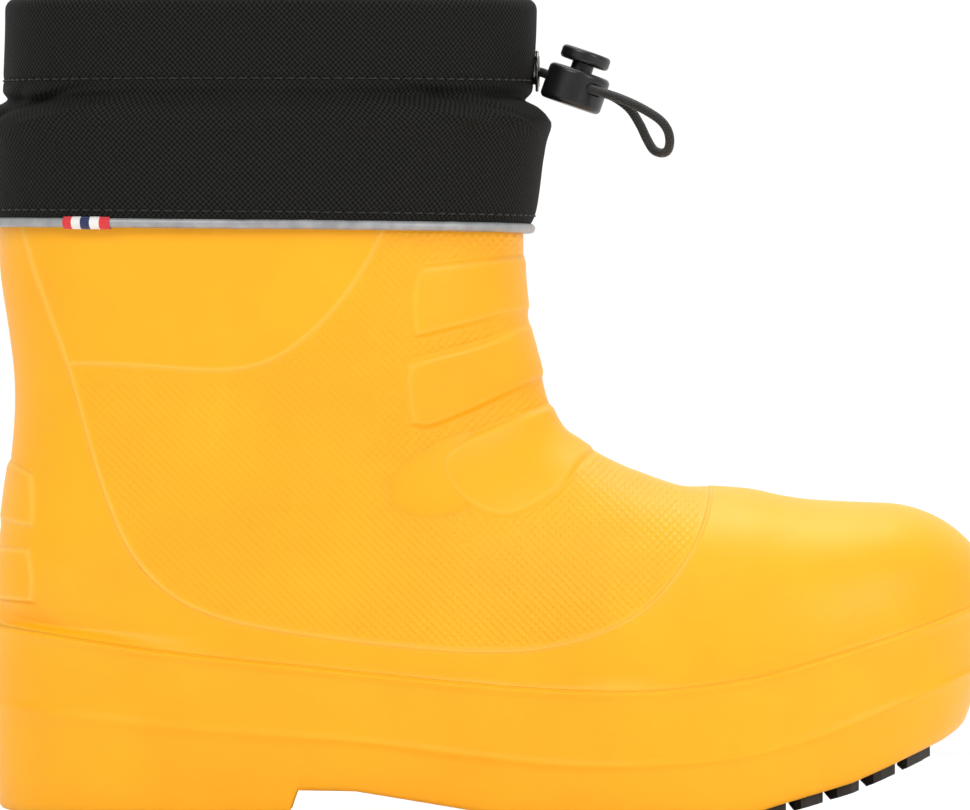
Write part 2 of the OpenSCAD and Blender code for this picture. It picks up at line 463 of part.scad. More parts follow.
// ---- liner and footbed -------------------------------------------------------------
BOOT_COLS = 28;
LINER_Z = [150, 163, 176, 190, 205, liner_top];
module liner_bootie() color([0.32, 0.33, 0.35]) loft(concat(
    [for (c = hollow_cuts(soft_gap + felt_t, LINER_Z)) oval(c, BOOT_COLS)],
    let (n = hollow_cuts(soft_gap, LINER_Z)) [for (i = [len(n) - 1:-1:0])
        oval(n[i], BOOT_COLS)]));
function liner_pt(z, a, d) =
    let (p = loop_xy(curve(SHAFT_FRONT, z) - wall_t - d, curve(SHAFT_BACK, z) + wall_t + d,
        curve(RIM_W, z) - d, a)) [p[0], p[1], z] * k;
BINDING_H = 2.6;
module liner_binding() color([0.12, 0.12, 0.13]) loft([for (i = [0:LOOP_COLS - 1])
    let (a = i * 360 / LOOP_COLS, low = liner_top + 0.1, high = low + BINDING_H, d = soft_gap)
    [liner_pt(low, a, d), liner_pt(low + 1.9, a, d), liner_pt(high, a, d + 1.2),
        liner_pt(high, a, d + felt_t - 1), liner_pt(low + 1.9, a, d + felt_t + 0.2),
        liner_pt(low, a, d + felt_t + 0.2)]], true);
PULL_W = 14;
PULL_T = 1;
PULL_R = 2.2;
PULL_H = 18;
module liner_pull_loop() color([0.1, 0.1, 0.1]) {
    base = liner_pt(liner_top, 180, soft_gap);
    translate([base[0] + felt_t + 3.6, PULL_W / 2, base[2] - 6]) rotate([90, 0, 0])
        linear_extrude(PULL_W) difference() {
            union() {
                translate([-PULL_R, 0]) square([2 * PULL_R, PULL_H]);
                translate([0, PULL_H]) circle(PULL_R, $fn = 32);
            }
            translate([PULL_T - PULL_R, -1]) square([2 * (PULL_R - PULL_T), PULL_H + 1]);
            translate([0, PULL_H]) circle(PULL_R - PULL_T, $fn = 32);
        }
}
BED_FLOOR = [[-122, 35.4], [-107, 35.4], [-86, 34.4], [-52, 32.2], [-16, 30.4], [2, 29.8],
    [20, 29], [38, 27.8], [56, 27], [72, 26.8], [86, 27.9], [98, 29.4], [107, 31.4], [116, 34.8]];
BED_W = [[-122, 9.5], [-114, 14], [-107, 17], [-98, 19], [-86, 20], [-52, 20.5], [-34, 22],
    [-16, 25], [2, 28.6], [20, 31.6], [38, 33.2], [56, 33.6], [72, 33], [86, 31], [98, 27],
    [107, 22.5], [116, 16]];
BED_X = [-122, -119, -114, -107, -98, -86, -70, -52, -34, -16, 2, 20, 38, 56, 72, 86, 98, 107, 113, 116];
module bed(rise, t) loft([for (x = BED_X) let (y = curve(MIDDLE, x), w = curve(BED_W, x),
    z = curve(BED_FLOOR, x) + rise) [[x, y + w, z], [x, y - w, z], [x, y - w, z + t],
    [x, y + w, z + t]] * k]);
BOARD_T = 1.5;
FOAM_T = 4;
COVER_T = 0.8;
module insole_board() color([0.75, 0.68, 0.55]) bed(0, BOARD_T);
module footbed_foam() color([0.2, 0.2, 0.22]) bed(BOARD_T + 0.1, FOAM_T);
module footbed_cover() color([0.25, 0.26, 0.28]) bed(BOARD_T + FOAM_T + 0.2, COVER_T);

outsole_forefoot();
outsole_heel();
collar_cuff();
collar_lining();
tunnel_facing();
back_seam_tape();
collar_stitching();
piping_cover();
piping_core();
striped_tab();
eyelet();
eyelet_washer();
drawcord_inner();
drawcord_loop();
lock_barrel();
lock_plunger();
lock_spring();
liner_bootie();
liner_binding();
liner_pull_loop();
insole_board();
footbed_foam();
footbed_cover();
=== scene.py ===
"""The looks of a right deck boot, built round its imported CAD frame. Metres, +X to the toe, +Z up."""
import json
import math

import bpy
import numpy as np
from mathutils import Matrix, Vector


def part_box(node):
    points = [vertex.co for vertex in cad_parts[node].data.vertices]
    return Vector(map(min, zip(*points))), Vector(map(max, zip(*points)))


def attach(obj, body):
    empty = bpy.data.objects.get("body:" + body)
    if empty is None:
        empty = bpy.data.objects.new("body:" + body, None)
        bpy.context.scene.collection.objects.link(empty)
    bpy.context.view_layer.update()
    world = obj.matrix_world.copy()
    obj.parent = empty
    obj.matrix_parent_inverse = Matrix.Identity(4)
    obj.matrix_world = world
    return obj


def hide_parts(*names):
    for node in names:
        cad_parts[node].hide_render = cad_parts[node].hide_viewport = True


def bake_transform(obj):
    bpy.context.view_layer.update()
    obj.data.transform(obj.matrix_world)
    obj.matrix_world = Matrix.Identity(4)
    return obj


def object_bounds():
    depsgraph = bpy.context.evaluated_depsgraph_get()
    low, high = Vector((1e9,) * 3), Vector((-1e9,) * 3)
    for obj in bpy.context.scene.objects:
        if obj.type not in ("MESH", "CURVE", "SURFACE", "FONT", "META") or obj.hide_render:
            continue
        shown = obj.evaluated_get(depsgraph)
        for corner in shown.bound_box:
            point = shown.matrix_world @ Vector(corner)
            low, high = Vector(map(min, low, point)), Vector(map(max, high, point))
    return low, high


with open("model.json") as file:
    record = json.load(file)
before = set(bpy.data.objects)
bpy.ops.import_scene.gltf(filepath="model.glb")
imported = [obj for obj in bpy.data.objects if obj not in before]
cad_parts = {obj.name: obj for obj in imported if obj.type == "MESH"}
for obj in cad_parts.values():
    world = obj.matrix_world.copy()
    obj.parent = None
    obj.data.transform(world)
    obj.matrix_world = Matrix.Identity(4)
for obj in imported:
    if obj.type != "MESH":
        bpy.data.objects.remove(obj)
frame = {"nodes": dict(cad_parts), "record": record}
cad_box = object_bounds()
MM = 0.001

# ---- camera -----------------------------------------------------------------------
LOW, HIGH = cad_box
VIEW_WIDTH = 0.9671 * (HIGH[0] - LOW[0])
VIEW_CENTRE = ((LOW[0] + HIGH[0]) / 2 - 1.06 * MM, LOW[2] + 0.5066 * (HIGH[2] - LOW[2]))
LENS = 600
SENSOR = 36


def make_camera():
    """A level, long-lens view of the boot's outer side, close enough to crop its ends."""
    data = bpy.data.cameras.new("side_view")
    data.lens = LENS
    data.sensor_width = SENSOR
    camera = bpy.data.objects.new("side_view", data)
    bpy.context.scene.collection.objects.link(camera)
    camera.location = (VIEW_CENTRE[0], -VIEW_WIDTH * LENS / SENSOR, VIEW_CENTRE[1])
    camera.rotation_euler = (math.pi / 2, 0, 0)
    bpy.context.scene.camera = camera


make_camera()


# ---- node helpers -----------------------------------------------------------------
class Nodes:
    """A short way to write a material's node tree."""

    def __init__(self, name):
        self.material = bpy.data.materials.new(name)
        self.material.use_nodes = True
        self.tree = self.material.node_tree
        self.tree.nodes.clear()
        self.out = self.add("ShaderNodeOutputMaterial")
        self.shader = self.add("ShaderNodeBsdfPrincipled")
        self.link(self.shader, "BSDF", self.out, "Surface")

    def add(self, kind, **settings):
        node = self.tree.nodes.new(kind)
        for key, value in settings.items():
            setattr(node, key, value)
        return node

    def link(self, a, out, b, into):
        self.tree.links.new(a.outputs[out], b.inputs[into])

    def set(self, node, **values):
        for key, value in values.items():
            node.inputs[key.replace("_", " ")].default_value = value

    def place(self):
        """The point on the object, in millimetres."""
        place = self.add("ShaderNodeTexCoord")
        scaled = self.add("ShaderNodeVectorMath", operation="SCALE")
        scaled.inputs["Scale"].default_value = 1 / MM
        self.link(place, "Object", scaled, 0)
        return scaled

    def noise(self, place, scale, detail=3.0, rough=0.55):
        node = self.add("ShaderNodeTexNoise")
        node.inputs["Scale"].default_value = scale
        node.inputs["Detail"].default_value = detail
        node.inputs["Roughness"].default_value = rough
        self.link(place, 0, node, "Vector")
        return node

    def ramp(self, source, out, stops, mode="LINEAR"):
        node = self.add("ShaderNodeValToRGB")
        node.color_ramp.interpolation = mode
        while len(node.color_ramp.elements) < len(stops):
            node.color_ramp.elements.new(0.5)
        for element, (at, colour) in zip(node.color_ramp.elements, stops):
            element.position = at
            element.color = (*colour, 1) if len(colour) == 3 else colour
        self.link(source, out, node, "Fac")
        return node

    def span(self, source, out, low, high, to_low, to_high):
        node = self.add("ShaderNodeMapRange")
        for key, value in zip((1, 2, 3, 4), (low, high, to_low, to_high)):
            node.inputs[key].default_value = value
        self.link(source, out, node, 0)
        return node

    def math(self, operation, *values):
        """A maths node; each value is a number, a node's first output or (node, output)."""
        node = self.add("ShaderNodeMath", operation=operation)
        for index, value in enumerate(values):
            if isinstance(value, (int, float)):
                node.inputs[index].default_value = value
            elif isinstance(value, tuple):
                self.link(*value, node, index)
            else:
                self.link(value, 0, node, index)
        return node

    def times(self, a, b):
        return self.math("MULTIPLY", a, b)

    def join(self, operation, nodes):
        """One maths operation over several nodes in turn."""
        total = nodes[0]
        for node in nodes[1:]:
            total = self.math(operation, total, node)
        return total

    def parts(self, name):
        """A mesh attribute's three numbers, as the outputs X, Y and Z."""
        source = self.add("ShaderNodeAttribute", attribute_name=name)
        split = self.add("ShaderNodeSeparateXYZ")
        self.link(source, "Vector", split, "Vector")
        return split

    def bump(self, source, out, distance, strength=1.0, after=None):
        """Bump whose depth is in metres."""
        node = self.add("ShaderNodeBump")
        node.inputs["Distance"].default_value = distance
        node.inputs["Strength"].default_value = strength
        self.link(source, out, node, "Height")
        if after is not None:
            self.link(after, "Normal", node, "Normal")
        return node

    def done(self, colour, bump, **values):
        """Join colour and bump to the shader, set its other values and give the material."""
        self.link(colour, "Color", self.shader, "Base Color")
        self.link(bump, "Normal", self.shader, "Normal")
        self.set(self.shader, **values)
        return self.material


def rgb(r, g, b):
    """A colour given as the eye sees it, 0 to 255, as linear light."""
    def linear(c):
        c = c / 255
        return c / 12.92 if c <= 0.04045 else ((c + 0.055) / 1.055) ** 2.4
    return (linear(r), linear(g), linear(b))


# ---- materials --------------------------------------------------------------------
DOT_HEIGHT = 0.2 * MM
DOT_ROWS = 1.3


def foam_material():
    """Satin moulded foam: warm yellow, a fine grain, and dots where the mesh says so."""
    n = Nodes("eva_foam")
    place = n.place()
    tone = n.noise(place, 0.035, 2)
    colour = n.ramp(tone, "Fac", [(0.3, rgb(251, 171, 12)), (0.7, rgb(253, 177, 17))])
    grain = n.noise(place, 1.9, 3, 0.6)
    n.link(n.span(grain, "Fac", 0.3, 0.7, 0.4, 0.52), 0, n.shader, "Roughness")
    fine = n.bump(grain, "Fac", 0.00010, 0.5)
    # Moulded lines, from the distances kept on the mesh: zone border, pad border, heel pads
    edge = n.parts("edges")
    zone, pad, heel = ((edge, axis) for axis in "XYZ")
    back = (n.add("ShaderNodeAttribute", attribute_name="back_line"), "Fac")

    def ridge_at(source, at, width, height):
        off = n.math("DIVIDE", n.math("SUBTRACT", source, at), width)
        return n.times(n.math("EXPONENT", n.times(n.times(off, off), -1.0)), height)

    steps = [n.times(n.span(*source, low, high, 0, 1), tall)
             for source, low, high, tall in ((zone, -0.35, 0.35, -0.08), (pad, -0.7, 0.5, 0.3),
                                             (heel, -0.5, 0.5, 0.5))]
    rims = [ridge_at(zone, -0.6, 0.5, 0.2), ridge_at(pad, -1.3, 0.6, -0.12),
            ridge_at(back, -0.6, 0.55, 0.22)]
    moulded = n.bump(n.join("ADD", steps + rims), 0, 0.001, 1.0, after=fine)
    # Painted highlight: the crests of the lines and the pads' rims are painted paler, standing in for
    # the light they catch
    pale = n.join("MAXIMUM", [ridge_at(zone, -0.5, 0.75, 0.36), ridge_at(back, -0.5, 0.8, 0.4),
                              ridge_at(pad, 0.7, 0.8, 0.18), ridge_at(heel, 0.6, 0.8, 0.35)])
    painted_crest_highlight = n.add("ShaderNodeMix", data_type="RGBA")
    factor, first, second = 0, 6, 7
    n.link(pale, 0, painted_crest_highlight, factor)
    n.link(colour, "Color", painted_crest_highlight, first)
    painted_crest_highlight.inputs[second].default_value = (*rgb(255, 203, 92), 1)
    # Staggered dots in the textured part of the side
    grid = n.parts("grid")
    waves = [n.math("COSINE", n.times((grid, axis), math.pi / DOT_ROWS)) for axis in "XY"]
    dots = n.span(n.times(*waves), 0, -0.4, 0.9, 0, 1)
    strength = (n.add("ShaderNodeAttribute", attribute_name="dots"), "Fac")
    bumps = n.bump(n.times(dots, strength), 0, DOT_HEIGHT, 1.0, after=moulded)
    # The base colour carries the painted highlight along the crests and rims
    n.link(painted_crest_highlight, 2, n.shader, "Base Color")
    n.link(bumps, "Normal", n.shader, "Normal")
    n.set(n.shader, Subsurface_Weight=0.1, Subsurface_Scale=0.003, Specular_IOR_Level=0.36)
    n.shader.inputs["Subsurface Radius"].default_value = (1.0, 0.45, 0.12)
    return n.material


def weave_material(name, light, dark, pitch, depth, rough=0.82, sheen=0.25, level=0.26):
    """Plain-woven yarn, pitch millimetres apart, laid by the mesh's own thread coordinates; its colour
    paints highlights on the yarn crowns and shade between them.
    """
    n = Nodes(name)
    yarn = n.parts("yarn")
    place = n.place()
    shift = n.span(n.noise(place, 0.5, 2), "Fac", 0, 1, -0.35, 0.35)
    turns = [n.math("ADD", n.times((yarn, axis), math.pi / pitch), shift) for axis in "XY"]
    sines = [n.math("ABSOLUTE", n.math("SINE", a)) for a in turns]
    cosines = [n.math("ABSOLUTE", n.math("COSINE", a)) for a in turns]
    height = n.math("MAXIMUM", n.times(sines[0], cosines[1]), n.times(cosines[0], sines[1]))
    fibres = n.span(n.noise(place, 6.0, 2), "Fac", 0.2, 0.8, 0.7, 1.1)
    mixed = n.times(height, fibres)
    # Painted highlight and shade: the yarn crowns take the lighter colour and the gaps between yarns
    # the darker
    colour = n.ramp(mixed, 0, [(0.25, dark), (0.85, light)])
    return n.done(colour, n.bump(mixed, 0, depth, 1.0), Roughness=rough, Sheen_Weight=sheen,
                  Sheen_Roughness=0.5, Specular_IOR_Level=level)


def grain_material(name, light, dark, scale, rough, depth=0.00005, metal=0.0, level=0.5, sheen=0.0):
    """A plain body with mottled colour, grain and bump: rubber, plastic, metal, felt or foam."""
    n = Nodes(name)
    place = n.place()
    spots = n.noise(place, scale, 4, 0.65)
    broad = n.noise(place, scale * 0.12, 2)
    both = n.math("ADD", n.times((spots, "Fac"), 0.6), n.times((broad, "Fac"), 0.4))
    colour = n.ramp(both, 0, [(0.35, dark), (0.65, light)])
    n.link(n.span(spots, "Fac", 0.3, 0.7, rough[0], rough[1]), 0, n.shader, "Roughness")
    return n.done(colour, n.bump(spots, "Fac", depth, 0.8), Metallic=metal,
                  Specular_IOR_Level=level, Sheen_Weight=sheen)


def braid_material():
    """Fine diagonal braid round the cord, by its length and turn."""
    n = Nodes("elastic_cord")
    yarn = n.parts("yarn")
    length, turn = n.times((yarn, "X"), 6.4), n.times((yarn, "Y"), 6)
    height = n.math("MAXIMUM", n.math("SINE", n.math("ADD", length, turn)),
                    n.math("SINE", n.math("SUBTRACT", length, turn)))
    # Painted highlight and shade: the braid's crests are painted lighter and its grooves darker
    colour = n.ramp(height, 0, [(0.1, rgb(8, 8, 7)), (1.0, rgb(34, 33, 29))])
    return n.done(colour, n.bump(height, 0, 0.00009, 0.8), Roughness=0.6, Sheen_Weight=0.15,
                  Specular_IOR_Level=0.4)


def reflective_material():
    """Silver-grey tape of tiny glass beads."""
    n = Nodes("reflective")
    place = n.place()
    beads = n.add("ShaderNodeTexVoronoi")
    beads.inputs["Scale"].default_value = 5.0
    n.link(place, 0, beads, "Vector")
    broad = n.noise(place, 0.2, 2)
    colour = n.ramp(broad, "Fac", [(0.3, rgb(142, 143, 145)), (0.7, rgb(168, 169, 170))])
    return n.done(colour, n.bump(beads, "Distance", 0.00004, 0.6), Roughness=0.42,
                  Metallic=0.25, Specular_IOR_Level=0.5)


def ribbon_material():
    """A ribbon in five even stripes across its width, with a fine rib."""
    n = Nodes("ribbon")
    yarn = n.parts("yarn")
    red, white, navy = rgb(222, 42, 50), rgb(238, 236, 232), rgb(24, 34, 84)
    stripes = n.ramp(yarn, "X", [(0, red), (0.2, white), (0.4, navy), (0.6, white), (0.8, red)],
                     "CONSTANT")
    rib = n.math("SINE", n.times((yarn, "Y"), 9.0))
    return n.done(stripes, n.bump(rib, 0, 0.00008, 0.8), Roughness=0.65, Sheen_Weight=0.2)


# The black yarn's two colours: a painted highlight for the crowns and a painted shade for the gaps
BLACK_YARN = (rgb(42, 42, 39), rgb(2, 2, 2))
MATERIALS = {
    "eva_foam": foam_material(),
    "tread_rubber": grain_material("tread_rubber", rgb(52, 46, 41), rgb(34, 30, 27), 0.9,
                                   (0.55, 0.75), 0.00008),
    "collar_nylon": weave_material("collar_nylon", *BLACK_YARN, 1.7, 0.0004, 0.7, 0.0, 0.08),
    "lining_fabric": weave_material("lining_fabric", rgb(44, 44, 46), rgb(16, 16, 17), 0.5, 0.0001),
    "seam_tape": weave_material("seam_tape", rgb(40, 40, 40), rgb(12, 12, 12), 0.7, 0.00015),
    "thread": weave_material("thread", rgb(28, 28, 27), rgb(9, 9, 9), 0.4, 0.0001),
    "reflective": reflective_material(),
    "piping_cord": weave_material("piping_cord", rgb(220, 218, 212), rgb(170, 168, 160), 0.6, 0.0001),
    "ribbon": ribbon_material(),
    "nickel": grain_material("nickel", rgb(150, 148, 142), rgb(112, 110, 104), 1.6, (0.2, 0.34),
                             0.00001, 1.0),
    "elastic_cord": braid_material(),
    "lock_plastic": grain_material("lock_plastic", rgb(22, 22, 22), rgb(11, 11, 11), 2.5,
                                   (0.28, 0.42), 0.00003),
    "spring_steel": grain_material("spring_steel", rgb(190, 190, 192), rgb(140, 140, 145), 3.0,
                                   (0.25, 0.4), 0.00001, 1.0),
    "felt": grain_material("felt", rgb(98, 100, 106), rgb(62, 64, 70), 1.1, (0.85, 0.98), 0.0005,
                           0, 0.2, 0.4),
    "board": grain_material("board", rgb(190, 170, 138), rgb(160, 140, 108), 1.0, (0.8, 0.9)),
    "bed_foam": grain_material("bed_foam", rgb(62, 62, 66), rgb(40, 40, 44), 2.2, (0.8, 0.95), 0.0002),
    "bed_cover": weave_material("bed_cover", rgb(84, 88, 96), rgb(44, 47, 54), 0.7, 0.00015, 0.9, 0.4),
}

# ---- mesh helpers -----------------------------------------------------------------


def piece(name, points, faces, slot_name, node, body="boot", **attributes):
    """A smooth mesh from points in millimetres, which rides a body and stands for a CAD node."""
    mesh = bpy.data.meshes.new(name)
    mesh.from_pydata((np.asarray(points, float).reshape(-1, 3) * MM).tolist(), [], faces)
    for key, values in attributes.items():
        values = np.asarray(values, dtype=np.float32)
        kind = "FLOAT" if values.ndim == 1 else "FLOAT_VECTOR"
        layer = mesh.attributes.new(key, kind, "POINT")
        layer.data.foreach_set("value" if kind == "FLOAT" else "vector", values.ravel())
    mesh.validate()
    made = bpy.data.objects.new(name, mesh)
    bpy.context.scene.collection.objects.link(made)
    for polygon in mesh.polygons:
        polygon.use_smooth = True
    mesh.materials.append(MATERIALS[slot_name])
    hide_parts(node)
    if body:
        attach(made, body)
    return made


def grid_faces(rows, columns, start=0, wrap_rows=False, wrap_columns=False, flip=False):
    """Quads of a grid of vertices stored row by row."""
    faces = []
    for i in range(rows if wrap_rows else rows - 1):
        for j in range(columns if wrap_columns else columns - 1):
            a, b = i * columns + j, i * columns + (j + 1) % columns
            c, d = (i + 1) % rows * columns + (j + 1) % columns, (i + 1) % rows * columns + j
            quad = (start + a, start + b, start + c, start + d)
            faces.append(quad[::-1] if flip else quad)
    return faces


def yarn_grid(across, along):
    """Thread coordinates of rings of vertices: across within a ring, along from ring to ring."""
    return np.stack([np.tile(across, len(along)), np.repeat(along, len(across)),
                     np.zeros(len(across) * len(along))], 1)


def run_length(points):
    """Length along a line of points, from its first."""
    return np.concatenate([[0], np.cumsum(np.linalg.norm(np.diff(points, axis=0), axis=1))])


def caps(rings, count):
    """The two end faces of a tube of rings that each have count vertices."""
    return [tuple(range(count)), tuple((rings - 1) * count + i for i in reversed(range(count)))]


def closed_tube(rings, count):
    """All faces of a tube with its two ends, facing the other way round from caps."""
    return grid_faces(rings, count, wrap_columns=True) + [f[::-1] for f in caps(rings, count)]


def unit(v):
    return v / np.maximum(np.linalg.norm(v, axis=-1, keepdims=True), 1e-9)


def box_mm(node):
    """A node's lowest and highest corners, in millimetres."""
    low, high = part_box(node)
    return np.array(low) / MM, np.array(high) / MM


def height_of(node):
    """A node's lowest and highest z, in millimetres."""
    low, high = box_mm(node)
    return low[2], high[2]


# ---- cord -------------------------------------------------------------------------
EYELET_OUT = 0.6
EYELET = np.mean(box_mm("eyelet"), axis=0) + np.array([EYELET_OUT, 0, 0])
CORD_D = 2.8
LOOP_ROUTE = np.array([
    [-2, -1.6, 0], [0, -1.6, 0], [2, -1.8, -0.4], [3.8, -2.7, -1.1], [5.5, -4.2, -1.8],
    [11.2, -11.5, -3.8], [17, -18.8, -5.8], [21.2, -24.1, -7.2], [25.6, -29.2, -8.8],
    [31.4, -33.4, -11.5], [37, -35.5, -15], [39.6, -35.8, -18.2], [40.4, -34.6, -21.6],
    [39.8, -32, -24.4], [38, -29.2, -25.2], [35.6, -27.4, -24.2], [33.6, -26.6, -21],
    [31.4, -26, -16.4], [28.2, -24.8, -11.6], [23.6, -22, -8.2], [19.4, -16.8, -6.6],
    [13.6, -9.5, -4.6], [7.8, -2.2, -2.6], [5.6, 0, -1.7], [3.6, 1.2, -0.9], [1.6, 1.6, -0.2],
    [0, 1.6, 0], [-2, 1.6, 0]])


def smooth_route(points, steps):
    """A smooth curve through given points, the same as the CAD model's."""
    last = len(points) - 1
    route = []
    for i in range(last):
        a, b, c, d = points[max(i - 1, 0)], points[i], points[i + 1], points[min(i + 2, last)]
        for s in range(steps):
            t = s / steps
            route.append(b * (2 * t**3 - 3 * t**2 + 1) + (c - a) / 2 * (t**3 - 2 * t**2 + t)
                         + c * (3 * t**2 - 2 * t**3) + (d - b) / 2 * (t**3 - t**2))
    return np.array(route + [points[last]])


def tube_mesh(route, radius, sides):
    """Vertices, faces and (length, turn) coordinates of a round tube about a route."""
    ahead = unit(np.gradient(route, axis=0))
    across = unit(np.cross(ahead, [0, 0, 1]))
    above = np.cross(ahead, across)
    angle = np.arange(sides) * 2 * math.pi / sides
    rings = route[:, None] + radius * (np.cos(angle)[None, :, None] * across[:, None]
                                       - np.sin(angle)[None, :, None] * above[:, None])
    count = len(route)
    length = run_length(route)
    yarn = yarn_grid(angle, length)[:, [1, 0, 2]]
    faces = grid_faces(count, sides, wrap_columns=True, flip=True) + caps(count, sides)
    return rings.reshape(-1, 3), faces, yarn, length[-1]


LOCK_TILT = math.radians(19)
LOCK_UP = np.array([math.sin(LOCK_TILT), 0, math.cos(LOCK_TILT)])
LOCK_AT = EYELET + np.array([12.4, -10.5, -4.2])
WIRE_D, SPRING_TURNS = 0.5, 3
SPRING_FOOT, SPRING_HEAD = (3.5, -5.4), (2.0, -2.8)


def make_spring():
    """The button's conical spring, narrowing from its foot in the barrel to its head."""
    ahead = np.array([math.cos(LOCK_TILT), 0, -math.sin(LOCK_TILT)])
    turn = np.linspace(0, 2 * math.pi * SPRING_TURNS, 40 * SPRING_TURNS + 1)
    radius, rise = np.linspace(SPRING_FOOT, SPRING_HEAD, len(turn)).T
    route = LOCK_AT + (radius * np.cos(turn))[:, None] * ahead \
        + (radius * np.sin(turn))[:, None] * np.array([0, 1, 0]) + rise[:, None] * LOCK_UP
    vertices, faces, _, _ = tube_mesh(route, WIRE_D / 2, 10)
    spring = piece("coil_spring", vertices, faces, "spring_steel", "lock_spring", body=None)
    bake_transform(spring)


def make_cord():
    """The elastic cord's free loop: out of the eyelet, through the lock, round and back."""
    route = smooth_route(LOOP_ROUTE, 6) + EYELET
    vertices, faces, yarn, length = tube_mesh(route, CORD_D / 2, 20)
    cord = piece("cord_loop", vertices, faces, "elastic_cord", "drawcord_loop", yarn=yarn)


make_spring()
make_cord()

# ---- the shell's curves, the same as the CAD model's --------------------------------
TOE_X, TOE_END, TOE_N = 70, 152, 2.5
HEEL_X, HEEL_BACK, HEEL_N = -95, -151.5, 2.4
HEEL_W, BALL_W = 41, 56
TOP_X, TOP_Z, TOP_N = 118, 96.8, 2.2
PIVOT = np.array([45.0, 150.0])
WALL_T, RIDGE_LIP, TREAD_T = 4.5, 1.6, 1.6
RIM_Z = height_of("eva_shell")[1]
WAIST = [[-95, 41], [-60, 40.5], [-25, 42.5], [10, 49], [40, 54.6], [70, 56]]
MIDDLE = [[-152, 0], [-60, 0], [6, 0], [22, -0.9], [45, -2.2], [80, 0.4], [120, 6], [152, 9.5]]
FOOT_TOP = [[45, 106.8], [52, 104.2], [59, 102.2], [68, 102], [80, 101], [88, 99.2],
            [98, 97.8], [118, 96.8]]
INSTEP = [[45, 106.8], [36.8, 110.3], [27.7, 115.7], [23, 119], [18.6, 127], [16, 137],
          [14.1, 144.2], [12.6, 150]]
SHAFT_FRONT = [[150, 12.6], [165, 11], [177, 10.8], [192, 10.8]]
SHAFT_BACK = [[20, -151.5], [60, -151.5], [70, -150.8], [85, -148.3], [107, -145.4],
              [118, -142.8], [128, -142.6], [149, -145.3], [166, -147.8], [181, -148.6],
              [192, -148.8]]
SIDE_X = [[60, -95], [85, -87], [110, -78], [150, -68], [192, -69]]
SIDE_W = [[60, 41], [85, 42], [110, 43.5], [150, 46.5], [192, 48]]
RIDGE = [[-152, 60], [-102, 52.4], [-55, 47.3], [-3, 42.1], [26, 40.3], [50, 40.3], [78, 43.9],
         [97, 48.8], [130, 59.1], [152, 67.5]]
LOWER = [[-152, 37], [-129, 33.3], [-92, 29.4], [-37, 25.1], [-3, 20.9], [30, 18.2], [68, 20],
         [87, 23.6], [106, 29.4], [125, 37], [152, 48]]
BASE = [[-152, 9], [-147, 4.6], [-140, 3.2], [-60, 3.2], [-57.5, 10.5], [-40, 10.2],
        [-3, 4.2], [6, 3.2], [74, 3.2], [80, 4.1], [88.3, 6.7], [109, 12.7], [120, 17.4],
        [137, 25.2], [146, 30.4], [152, 35]]


def curve(points, x):
    """Smooth value at x of a curve through points [x, value] with rising x."""
    p = np.asarray(points, float)
    x = np.clip(np.asarray(x, float), p[0, 0], p[-1, 0])
    last = len(p) - 1
    slopes = np.array([(p[min(i + 1, last), 1] - p[max(i - 1, 0), 1])
                       / (p[min(i + 1, last), 0] - p[max(i - 1, 0), 0]) for i in range(last + 1)])
    i = np.clip(np.searchsorted(p[:, 0], x, side="right") - 1, 0, last - 1)
    d = p[i + 1, 0] - p[i, 0]
    t = (x - p[i, 0]) / d
    return (p[i, 1] * (2 * t**3 - 3 * t**2 + 1) + slopes[i] * d * (t**3 - 2 * t**2 + t)
            + p[i + 1, 1] * (3 * t**2 - 2 * t**3) + slopes[i + 1] * d * (t**3 - t**2))


def value(points, x):
    """A curve's value at one x, as a plain number."""
    return float(curve(points, x))


def line_at(points, x):
    """The same points joined by straight lines."""
    return np.interp(x, *np.transpose(points))


def plan_w(x):
    """Half width of the sole at x."""
    x = np.asarray(x, float)

    def rounded(width, n, share):
        return width * np.maximum(1 - np.maximum(share, 0)**n, 0)**(1 / n)
    toe = rounded(BALL_W, TOE_N, (x - TOE_X) / (TOE_END - TOE_X))
    heel = rounded(HEEL_W, HEEL_N, (HEEL_X - x) / (HEEL_X - HEEL_BACK))
    return np.where(x > TOE_X, toe, np.where(x < HEEL_X, heel, curve(WAIST, x)))


def foot_top(x):
    """Height of the front of the foot at x, down to the ridge at the toe's end."""
    if x <= TOP_X:
        return value(FOOT_TOP, x)
    z = value(RIDGE, x)
    return z + (TOP_Z - z) * max(1 - ((x - TOP_X) / (TOE_END - TOP_X))**TOP_N, 0)**(1 / TOP_N)


def seen(points):
    """Points as (angle, distance) from the pivot in front of the ankle; 0 is straight down."""
    away = PIVOT - np.asarray(points, float)
    return np.stack([np.degrees(np.arctan2(away[:, 0], away[:, 1])),
                     np.linalg.norm(away, axis=1)], 1)


INSTEP_SEEN = seen(INSTEP)


def ray_end(points, angle):
    """Where a ray from the pivot meets a line of seen points."""
    a = math.radians(angle)
    return PIVOT - value(points, angle) * np.array([math.sin(a), math.cos(a)])


def up_edge(x):
    """Height at which the upper leaves the ridge."""
    return value(RIDGE, x) + 1.2


def near_of(x, z):
    """The front end of the cut whose far end is at x, z."""
    if x >= PIVOT[0]:
        return np.array([x, foot_top(x)])
    if z >= PIVOT[1]:
        return np.array([value(SHAFT_FRONT, z), z])
    return ray_end(INSTEP_SEEN, math.degrees(math.atan2(PIVOT[0] - x, PIVOT[1] - z)))


